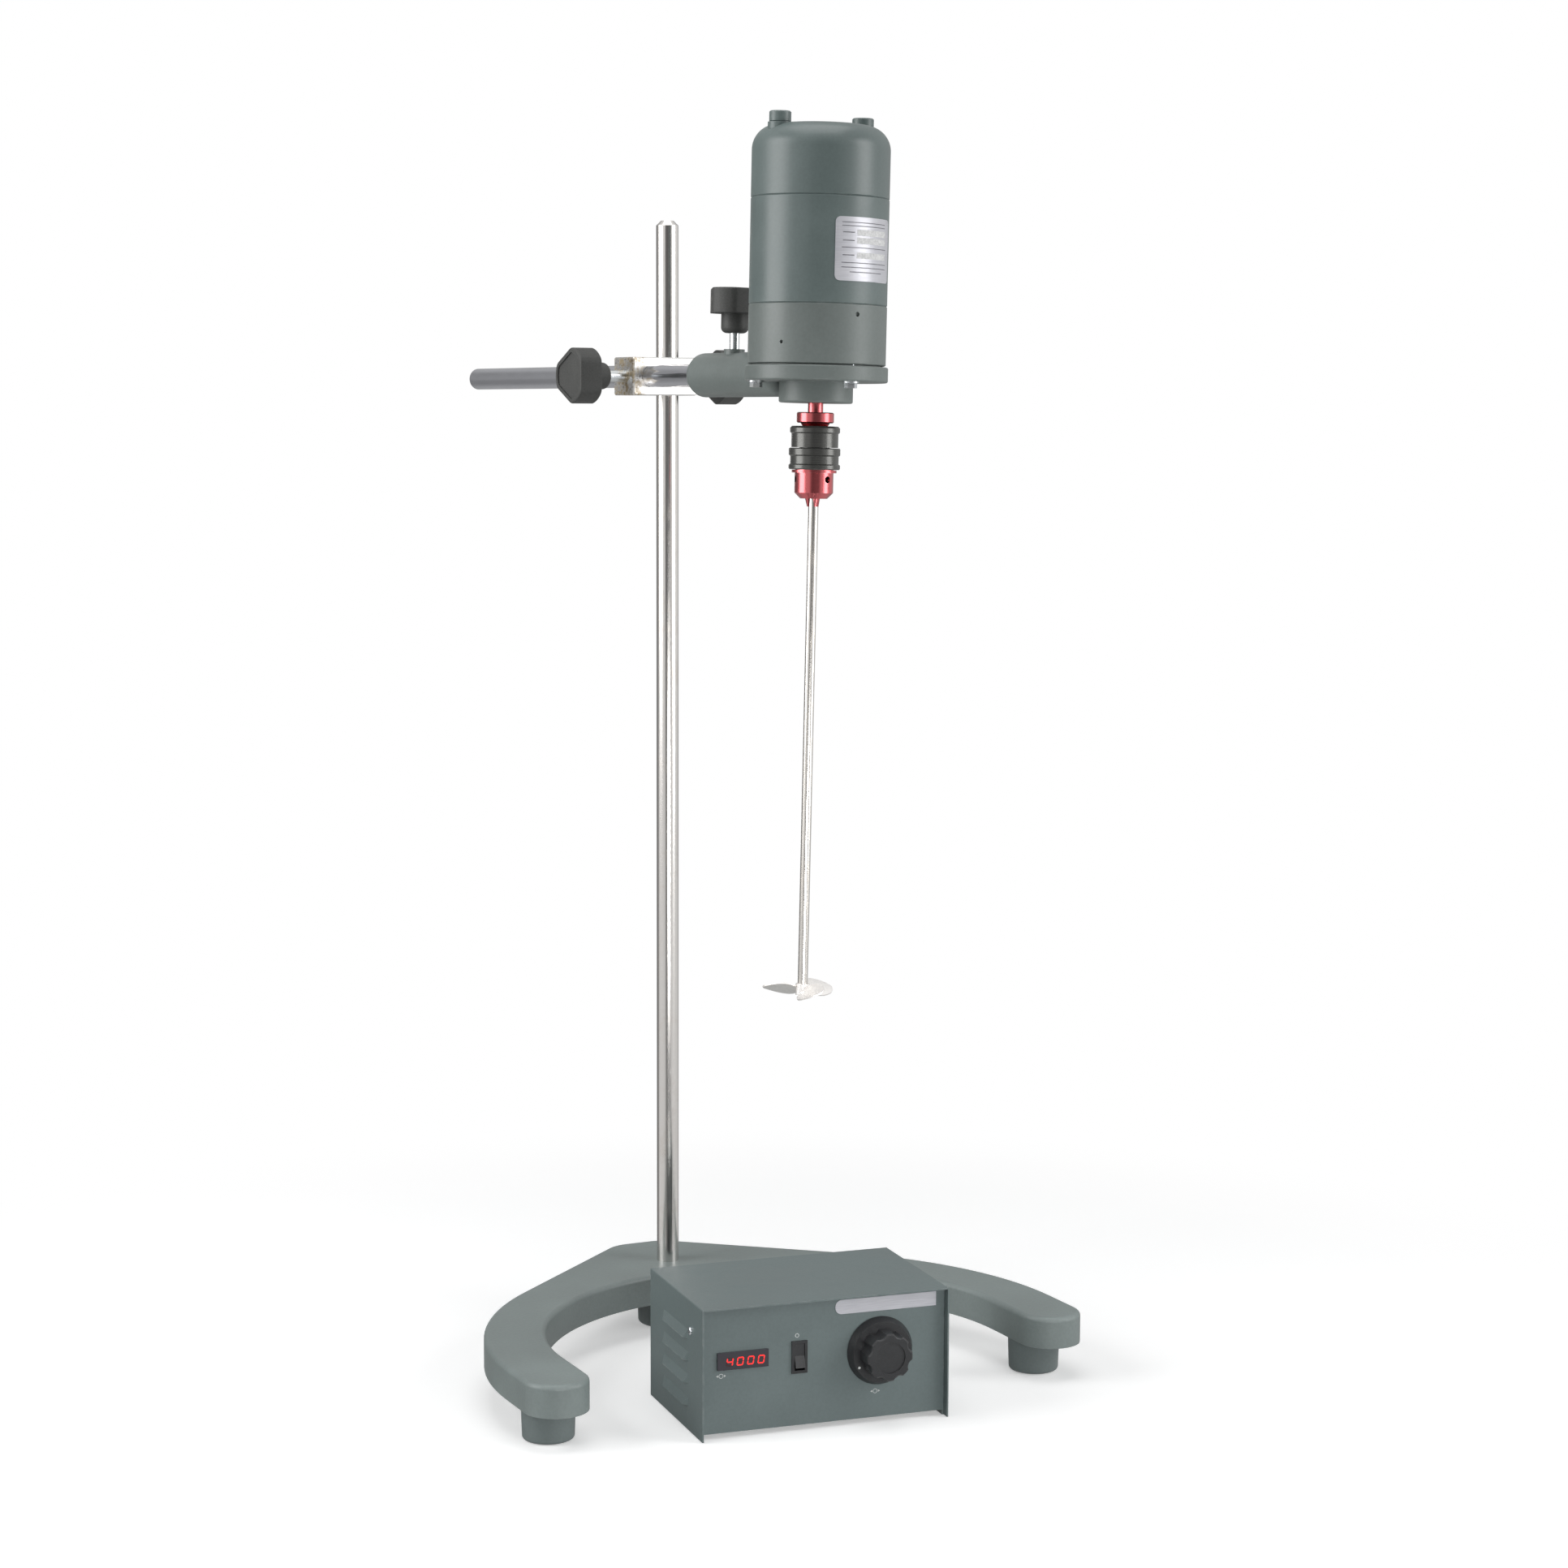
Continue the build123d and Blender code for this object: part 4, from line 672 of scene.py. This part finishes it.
bored_anodise = anodised("bored_anodise", red_dye, red_roughness, red_thin)
tree = bored_anodise.node_tree
shader = tree.nodes["Principled BSDF"]
into_chuck = frame["nodes"]["chuck_body"].matrix_world.inverted()


def foot_of(name):
    """Height of a node's lowest point on the chuck's own scale."""
    return (into_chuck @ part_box(name)[0]).z


def band(tree, height, low, high):
    """A mask for the heights between two limits."""
    above = worked(tree, "GREATER_THAN", height, low)
    return worked(tree, "MULTIPLY", worked(tree, "LESS_THAN", height, high), above)


spot = own_place(tree)
height = lay(tree, "SeparateXYZ", {0: spot}).outputs["Z"]
groove_low = foot_of("chuck_sleeve") + sleeve_overlap
groove = band(tree, height, groove_low, foot_of("chuck_rear_grip") + grip_overlap)
nose = band(tree, height, foot_of("chuck_body") + above_chamfer, groove_low - below_sleeve)
own_pivot = into_chuck @ Vector(spin["pos_m"])
own_axis = into_chuck.to_3x3() @ Vector(spin["axis"])
offset = lay(tree, "VectorMath", {0: spot, 1: own_pivot}, operation="SUBTRACT").outputs[0]
across = lay(tree, "VectorMath", {0: offset, 1: own_axis}, operation="CROSS_PRODUCT").outputs[0]
radial = lay(tree, "VectorMath", {0: across}, operation="LENGTH").outputs["Value"]
bored = worked(tree, "MULTIPLY", worked(tree, "LESS_THAN", radial, skin_radius), nose)
painted_shade_mask = worked(tree, "MAXIMUM", groove, bored)
dyed = shader.inputs["Base Color"].links[0].from_socket
# painted shade: the dyed red turns near black in the groove and inside the nose
tree.links.new(blended(tree, painted_shade_mask, dyed, shade(painted_shade_black)), shader.inputs["Base Color"])
print("dark hollows on", bored_anodise.name)

# %% [markdown]
# Moulded plastic has no lines: its mould was finely blasted, which gives an even grain, and hands
# polish the high places.

# %% Moulded plastic
grain_shade = 0.75
grain_strength = 0.4
dust_tint = 0.35
dust_gloss = 0.15
polished_edge = 0.12


def moulding(name, colour, roughness, grain, grain_depth, rubbed, coat=0.0, wear=0.4):
    """Moulded plastic with a blasted grain of a depth in millimetres, paler on its edges."""
    material, tree, shader = started(name, roughness, coat=coat, specular=0.45)
    fine = noise(tree, own_place(tree), grain, 3.0)
    marks = lay(tree, "Group", {"Size": 26.0, "Amount": 0.6}, node_tree=hand_marks)
    edges = lay(tree, "Group", {"Amount": wear, "Break": 200.0}, node_tree=worn_edges)
    toned = blended(tree, remapped(tree, fine, *noise_span), shade(colour),
                    shade([channel * grain_shade for channel in colour]))
    dusty = blended(tree, worked(tree, "MULTIPLY", marks.outputs["Smudge"], dust_tint), toned,
                    shade([channel * 1.6 + 0.01 for channel in colour]))
    worn = blended(tree, edges.outputs["Mask"], dusty, shade(rubbed))
    tree.links.new(worn, shader.inputs["Base Color"])
    gloss = worked(tree, "MULTIPLY", marks.outputs["Smudge"], dust_gloss)
    gloss = worked(tree, "ADD", gloss, roughness - 0.04)
    gloss = worked(tree, "SUBTRACT", gloss, worked(tree, "MULTIPLY", edges.outputs["Mask"], polished_edge))
    tree.links.new(gloss, shader.inputs["Roughness"])
    bumped(tree, shader, fine, grain_strength, grain_depth * mm)
    return material


knob_black = moulding("knob_black", (0.062, 0.063, 0.060), 0.58, 900.0, 0.06, (0.16, 0.16, 0.155))
dial_black = moulding("dial_black", (0.026, 0.027, 0.029), 0.42, 1200.0, 0.03, (0.10, 0.10, 0.10), 0.1)
switch_black = moulding("switch_black", (0.020, 0.021, 0.023), 0.36, 1400.0, 0.02, (0.09,) * 3, 0.2)
gland_black = moulding("gland_black", (0.040, 0.040, 0.040), 0.5, 800.0, 0.05, (0.12, 0.12, 0.12))
board_green = moulding("board_green", (0.035, 0.16, 0.07), 0.35, 500.0, 0.04, (0.20, 0.30, 0.20), 0.3)
phenolic = moulding("phenolic", (0.30, 0.17, 0.08), 0.55, 300.0, 0.05, (0.40, 0.26, 0.14))
carbon_black = moulding("carbon_black", (0.030, 0.030, 0.032), 0.48, 1500.0, 0.03, (0.11, 0.11, 0.11))
wound = (1.0, 1.0, 90.0)
stacked = (1.0, 1.0, 200.0)
copper_wire = metal(
    "copper_wire", (0.78, 0.40, 0.22), 0.30, wound, fineness=60.0, stain=(0.42, 0.18, 0.09),
)
laminations = metal("laminations", (0.36, 0.36, 0.38), 0.42, stacked, fineness=50.0, depth=0.06 * mm)
print("materials:", len(bpy.data.materials))

# %% [markdown]
# The display's window is a dark tinted sheet. It lets the digits show and nothing of the board, so it
# is a gloss surface of deep plum, slightly smeared by fingers.

# %% Tinted window
window_tint, tree, shader = started("window_tint", 0.12, coat=0.6)
haze = noise(tree, own_place(tree), 60.0, 4.0)
tinted = blended(tree, haze, shade((0.020, 0.018, 0.026)), shade((0.030, 0.024, 0.036)))
tree.links.new(tinted, shader.inputs["Base Color"])
tree.links.new(remapped(tree, haze, 0.3, 0.8, 0.10, 0.22), shader.inputs["Roughness"])

# %% Dress the nodes
finishes = {
    stand_paint: ["base_casting"],
    shaded_foot_paint: ["foot_pads"],
    casting_paint: ["motor_arm", "lower_bell"],
    motor_paint: ["motor_shell", "top_cover", "cap_nuts"],
    case_paint: ["box_cover", "box_chassis"],
    column_steel: ["column_rod"],
    cross_rod_steel: ["cross_rod"],
    shaft_steel: ["stirring_shaft"],
    blade_steel: ["propeller"],
    boss_chrome: ["boss_head"],
    zinc_plate: ["column_washer", "column_nut", "rod_clamp_stud", "column_clamp_stud", "arm_clamp_stud",
                 "motor_bolts", "tie_bolts", "cover_screws", "transformer_screws", "potentiometer"],
    gear_steel: ["motor_shaft", "bearing_inner_races", "bearing_outer_races", "dial_shaft"],
    brass_fitting: ["brush_holders", "board_posts"],
    red_anodise: ["chuck_arbor"],
    bored_anodise: ["chuck_body"],
    black_anodise: ["chuck_rear_grip", "chuck_sleeve"],
    jaw_steel: ["chuck_jaw_1", "chuck_jaw_2", "chuck_jaw_3"],
    knob_black: ["rod_clamp_knob", "column_clamp_knob", "arm_clamp_knob"],
    dial_black: ["speed_knob"],
    switch_black: ["switch_housing", "rocker"],
    gland_black: ["lead_gland", "cord_glands", "fuse_holder", "cooling_fan"],
    board_green: ["control_board", "display_module"],
    phenolic: ["brush_ring"],
    carbon_black: ["carbon_brushes"],
    copper_wire: ["armature_winding", "field_coils", "commutator"],
    laminations: ["armature_core", "field_core", "transformer"],
    window_tint: ["display_window"],
}
for material, names in finishes.items():
    for name in names:
        for holder in frame["nodes"][name].material_slots:
            holder.material = material
dressed = [name for names in finishes.values() for name in names]
print("dressed", len(dressed), "of", len(frame["nodes"]), "nodes")

# %% [markdown]
# ## Thin pieces on the motor
#
# A name plate is a thin sheet with rounded corners, bent to the motor's barrel. Here it is drawn flat
# as a fine grid, its corners are rounded, it is given a thickness, and then each point is wrapped
# round the barrel. The plate stays blank, with empty fields and ruled lines.

# %% Helpers for new pieces
def settled(piece, name, body, material):
    """Name a finished piece, put its place into its mesh, dress it and let it ride on its body."""
    bpy.ops.object.select_all(action="DESELECT")
    piece.select_set(True)
    bpy.context.view_layer.objects.active = piece
    bpy.ops.object.transform_apply(location=True, rotation=True, scale=True)
    piece.name = name
    piece.data.name = name
    piece.data.materials.clear()
    piece.data.materials.append(material)
    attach(piece, body)
    return piece


def flat_plate(width, height, corner, thickness, steps=1):
    """A flat sheet in X and Z with rounded corners, its face towards -Y, cut into strips across X."""
    bpy.ops.object.select_all(action="DESELECT")
    bpy.ops.mesh.primitive_plane_add(size=1, rotation=(math.pi / 2, 0, 0))
    plate = bpy.context.object
    plate.scale = (width, height, 1)
    bpy.ops.object.transform_apply(location=True, rotation=True, scale=True)
    bpy.ops.object.mode_set(mode="EDIT")
    bpy.ops.mesh.select_all(action="SELECT")
    bpy.ops.mesh.bevel(offset=corner, segments=6, affect="VERTICES")
    for cut in range(1, steps):
        bpy.ops.mesh.select_all(action="SELECT")
        x = -width / 2 + width * cut / steps
        bpy.ops.mesh.bisect(plane_co=(x, 0, 0), plane_no=(1, 0, 0))
    bpy.ops.object.mode_set(mode="OBJECT")
    thick = plate.modifiers.new("thickness", "SOLIDIFY")
    thick.thickness = thickness
    thick.offset = 0
    bpy.ops.object.modifier_apply(modifier="thickness")
    return plate


def wrapped(plate, radius, angle, height):
    """Bend a flat plate round the motor's barrel, centred at an angle and at a height over the arm."""
    for vertex in plate.data.vertices:
        bend = angle + vertex.co.x / radius
        out = radius - vertex.co.y
        upright = Vector((math.cos(bend) * out, math.sin(bend) * out, vertex.co.z + height))
        vertex.co = motor_place @ upright
    plate.data.update()
    return plate


# %% Name plate material
plate_silver, tree, shader = started("plate_silver", 0.42, metallic=0.25)
lines = lay(tree, "Group", {"Stretch": (1.0, 1.0, 30.0), "Fineness": 60.0}, node_tree=tool_lines)
marks = lay(tree, "Group", {"Size": 40.0, "Amount": 0.6}, node_tree=hand_marks)
silver = blended(tree, lines.outputs["Line"], shade((0.62, 0.62, 0.66)), shade((0.54, 0.54, 0.58)))
smudged = worked(tree, "MULTIPLY", marks.outputs["Smudge"], 0.4)
silver = blended(tree, smudged, silver, shade((0.50, 0.49, 0.50)))
tree.links.new(silver, shader.inputs["Base Color"])
tree.links.new(remapped(tree, marks.outputs["Smudge"], 0.0, 0.6, 0.32, 0.5), shader.inputs["Roughness"])
bumped(tree, shader, lines.outputs["Height"], 0.2, 0.01 * mm)

field_white = moulding("field_white", (0.80, 0.80, 0.80), 0.5, 600.0, 0.01, (0.7, 0.7, 0.7), wear=0.0)
field_line = moulding("field_line", (0.19, 0.19, 0.21), 0.5, 600.0, 0.01, (0.3, 0.3, 0.3), wear=0.0)

# %% Name plate
plate_width = 60 * mm
plate_height = 48.5 * mm
plate_corner = 4 * mm
plate_thickness = 0.5 * mm
to_camera = camera_place - motor_place.translation
facing_camera = math.atan2(to_camera.y, to_camera.x)
plate_first_edge = math.radians(12.9)
plate_angle = facing_camera + plate_first_edge + plate_width / 2 / motor_radius
plate_z = 93.8 * mm

name_plate = wrapped(
    flat_plate(plate_width, plate_height, plate_corner, plate_thickness, steps=24),
    motor_radius + plate_thickness / 2, plate_angle, plate_z,
)
settled(name_plate, "motor_name_plate", "motor_arm", plate_silver)
print("name plate from", round(math.degrees(plate_first_edge), 1), "degrees right of the camera")

# %% Blank fields on the name plate
field_gap = 0.12 * mm
field_rows = [
    # left edge, width, height above the plate's middle, tall, is it a ruled line
    (-25.0, 46.0, 20.0, 0.6, True),
    (-25.0, 46.0, 17.4, 0.6, True),
    (-24.0, 10.0, 12.5, 0.7, True),
    (-12.0, 34.0, 12.5, 4.6, False),
    (-24.0, 10.0, 6.3, 0.7, True),
    (-12.0, 34.0, 6.3, 4.6, False),
    (-25.0, 48.0, 1.0, 0.6, True),
    (-24.0, 10.0, -4.8, 0.7, True),
    (-12.0, 34.0, -4.8, 4.6, False),
    (-25.0, 48.0, -10.5, 0.6, True),
    (-25.0, 48.0, -14.0, 0.6, True),
    (-18.0, 34.0, -17.5, 0.6, True),
]
for number, (left, width, height, tall, ruled) in enumerate(field_rows, start=1):
    corner = min(tall, 1.2) * 0.3 * mm
    field = wrapped(
        flat_plate(width * mm, tall * mm, corner, field_gap, steps=max(2, int(width / 3))),
        motor_radius + plate_thickness + field_gap / 2,
        plate_angle + (left + width / 2) * mm / motor_radius,
        plate_z + height * mm,
    )
    finish = field_line if ruled else field_white
    settled(field, f"plate_field_{number}", "motor_arm", finish)
print("fields:", len(field_rows))

# %% [markdown]
# ## Thin pieces on the regulator
#
# Everything on the front panel is placed by its distance from the panel's centre line and its height
# above the bench, and stands a tenth of a millimetre proud, as a printed film or a sticker does.

# %% Placing on the panel
def on_panel(piece, x, z, proud):
    """Move a flat piece drawn round the origin on to the panel."""
    right = Vector((math.cos(case_turn), math.sin(case_turn), 0))
    place = Vector((case_centre.x, case_centre.y, 0)) + right * x + outward * (panel_reach + proud)
    place.z = z
    piece.matrix_world = Matrix.Translation(place) @ Matrix.Rotation(case_turn, 4, "Z")
    return piece


def joined(parts):
    """Several meshes joined into one."""
    bpy.ops.object.select_all(action="DESELECT")
    for part in parts:
        part.select_set(True)
    bpy.context.view_layer.objects.active = parts[0]
    bpy.ops.object.join()
    return bpy.context.object


# %% Label strip
strip_left = 9 * mm
strip_right = 100 * mm
strip_low = 90 * mm
strip_tall = 11.4 * mm
strip_thickness = 0.4 * mm

strip_length = strip_right - strip_left
strip = flat_plate(strip_length, strip_tall, strip_tall * 0.46, strip_thickness)
bpy.ops.object.mode_set(mode="EDIT")
bpy.ops.mesh.select_all(action="SELECT")
cut_at = strip_length / 2 - strip_tall / 2
bpy.ops.mesh.bisect(plane_co=(cut_at, 0, 0), plane_no=(1, 0, 0), clear_outer=True, use_fill=True)
bpy.ops.object.mode_set(mode="OBJECT")
on_panel(strip, (strip_left + strip_right) / 2, strip_low + strip_tall / 2, strip_thickness / 2)
settled(strip, "panel_strip", "stand", plate_silver)
print("label strip", round(strip.dimensions.x, 4), "m long")

# %% [markdown]
# A seven-segment digit is seven bars with pointed ends. One bar is modelled, and a digit is a list of
# which bars are lit. The others show faintly, as they do in a real display.

# %% Digits
digit_width = 4.6 * mm
digit_height = 5.9 * mm
digit_slant = math.radians(8)
segment_thickness = 1.0 * mm
segment_depth = 0.1 * mm
segment_gap = 0.25 * mm
digit_pitch = 8.6 * mm
first_digit = -79.0 * mm
display_x = -68.0 * mm
digit_z = 60.8 * mm
window_depth = 2.0 * mm
segments = {
    "top": (0.0, 0.5, False), "middle": (0.0, 0.0, False), "bottom": (0.0, -0.5, False),
    "upper_left": (-0.5, 0.25, True), "upper_right": (0.5, 0.25, True),
    "lower_left": (-0.5, -0.25, True), "lower_right": (0.5, -0.25, True),
}
lit_in = {
    "4": {"upper_left", "upper_right", "middle", "lower_right"},
    "0": {"top", "bottom", "upper_left", "upper_right", "lower_left", "lower_right"},
}


def segment_bar(length):
    """One lit bar with pointed ends."""
    return flat_plate(length, segment_thickness, segment_thickness * 0.49, segment_depth)


def digit(x, chosen):
    """The chosen bars of one digit, slanted and set in a row at x."""
    bars = []
    for name in chosen:
        across, up, upright = segments[name]
        length = (digit_height / 2 if upright else digit_width) - segment_gap
        bar = segment_bar(length)
        if upright:
            bar.matrix_world = Matrix.Rotation(math.pi / 2, 4, "Y")
            bpy.ops.object.transform_apply(rotation=True)
        centre = Vector((across * digit_width, 0, up * digit_height))
        for vertex in bar.data.vertices:
            vertex.co += centre
            vertex.co.x += vertex.co.z * math.tan(digit_slant) + x
        bars.append(bar)
    return bars


digit_red, tree, shader = started("digit_red", 0.4)
uneven = noise(tree, own_place(tree), 500.0, 2.0)
glow = blended(tree, uneven, shade((0.95, 0.035, 0.030)), shade((0.80, 0.015, 0.015)))
tree.links.new(glow, shader.inputs["Base Color"])
tree.links.new(glow, shader.inputs["Emission Color"])
shader.inputs["Emission Strength"].default_value = 0.75
digit_dark = moulding("digit_dark", (0.055, 0.020, 0.024), 0.3, 900.0, 0.01, (0.06, 0.02, 0.02), wear=0.0)

lit_bars = []
dark_bars = []
for place, figure in enumerate("4000"):
    x = first_digit + place * digit_pitch - display_x
    lit_bars += digit(x, sorted(lit_in[figure]))
    dark_bars += digit(x, sorted(set(segments) - lit_in[figure]))
for parts, name, material in (
    (lit_bars, "lit_digits", digit_red),
    (dark_bars, "unlit_segments", digit_dark),
):
    whole = on_panel(joined(parts), display_x, digit_z, window_depth + segment_depth / 2)
    settled(whole, name, "stand", material)
print("lit bars", len(lit_bars), "dark bars", len(dark_bars))

# %% [markdown]
# The panel carries a few printed signs: a small ring over the switch, and a round arrow sign under
# the display and under the dial. The knob has a white dot as its index.

# %% Printed marks
print_depth = 0.08 * mm
switch_mark_x = -22.8 * mm
switch_mark_z = 76.2 * mm
tip_offset = 3.0 * mm
tip_size = 1.1 * mm
print_white = moulding("print_white", (0.66, 0.68, 0.67), 0.6, 900.0, 0.01, (0.6, 0.6, 0.6), wear=0.0)


def printed_ring(radius, line):
    """A thin printed ring, standing in X and Z."""
    bpy.ops.object.select_all(action="DESELECT")
    bpy.ops.mesh.primitive_circle_add(
        vertices=32, radius=radius, fill_type="NOTHING", rotation=(math.pi / 2, 0, 0),
    )
    ring = bpy.context.object
    bpy.ops.object.transform_apply(location=True, rotation=True, scale=True)
    bpy.ops.object.mode_set(mode="EDIT")
    bpy.ops.mesh.select_all(action="SELECT")
    bpy.ops.mesh.extrude_edges_move()
    inner = (radius - line) / radius
    bpy.ops.transform.resize(value=(inner, inner, inner), center_override=(0, 0, 0))
    bpy.ops.object.mode_set(mode="OBJECT")
    thick = ring.modifiers.new("thickness", "SOLIDIFY")
    thick.thickness = print_depth
    bpy.ops.object.modifier_apply(modifier="thickness")
    return ring


def arrow_tip(x, side, size):
    """A small printed triangle that points to one side."""
    bpy.ops.object.select_all(action="DESELECT")
    bpy.ops.mesh.primitive_cylinder_add(
        vertices=3, radius=size, depth=print_depth, rotation=(math.pi / 2, 0, 0),
    )
    tip = bpy.context.object
    bpy.ops.object.transform_apply(location=True, rotation=True, scale=True)
    turn = math.pi / 2 - (0 if side > 0 else math.pi)
    for vertex in tip.data.vertices:
        across, up = vertex.co.x, vertex.co.z
        vertex.co.x = math.cos(turn) * across + math.sin(turn) * up + x
        vertex.co.z = -math.sin(turn) * across + math.cos(turn) * up
    return tip


ring = on_panel(printed_ring(1.7 * mm, 0.5 * mm), switch_mark_x, switch_mark_z, print_depth / 2)
settled(ring, "switch_mark", "stand", print_white)
for name, x, z in (("speed_mark_left", -85.6, 49.6), ("speed_mark_right", 43.0, 25.1)):
    sign = [
        printed_ring(1.9 * mm, 0.45 * mm),
        arrow_tip(-tip_offset, -1, tip_size),
        arrow_tip(tip_offset, 1, tip_size),
    ]
    mark = on_panel(joined(sign), x * mm, z * mm, print_depth / 2)
    settled(mark, name, "stand", print_white)
print("printed marks: 3")

# %% Index dot on the dial
index_x = 26.9 * mm
index_z = 47.2 * mm
index_radius = 1.1 * mm
skirt_depth = 6.0 * mm
bpy.ops.object.select_all(action="DESELECT")
bpy.ops.mesh.primitive_uv_sphere_add(segments=20, ring_count=10, radius=index_radius)
dot = bpy.context.object
dot.scale = (1, 0.3, 1)
bpy.ops.object.transform_apply(location=True, rotation=True, scale=True)
on_panel(dot, index_x, index_z, dial_standoff + skirt_depth)
settled(dot, "dial_index", "speed_knob", print_white)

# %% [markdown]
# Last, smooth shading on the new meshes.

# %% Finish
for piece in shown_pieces():
    if "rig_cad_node" not in piece and piece.type == "MESH":
        bpy.ops.object.select_all(action="DESELECT")
        piece.select_set(True)
        bpy.context.view_layer.objects.active = piece
        bpy.ops.object.shade_smooth_by_angle(angle=math.radians(35))
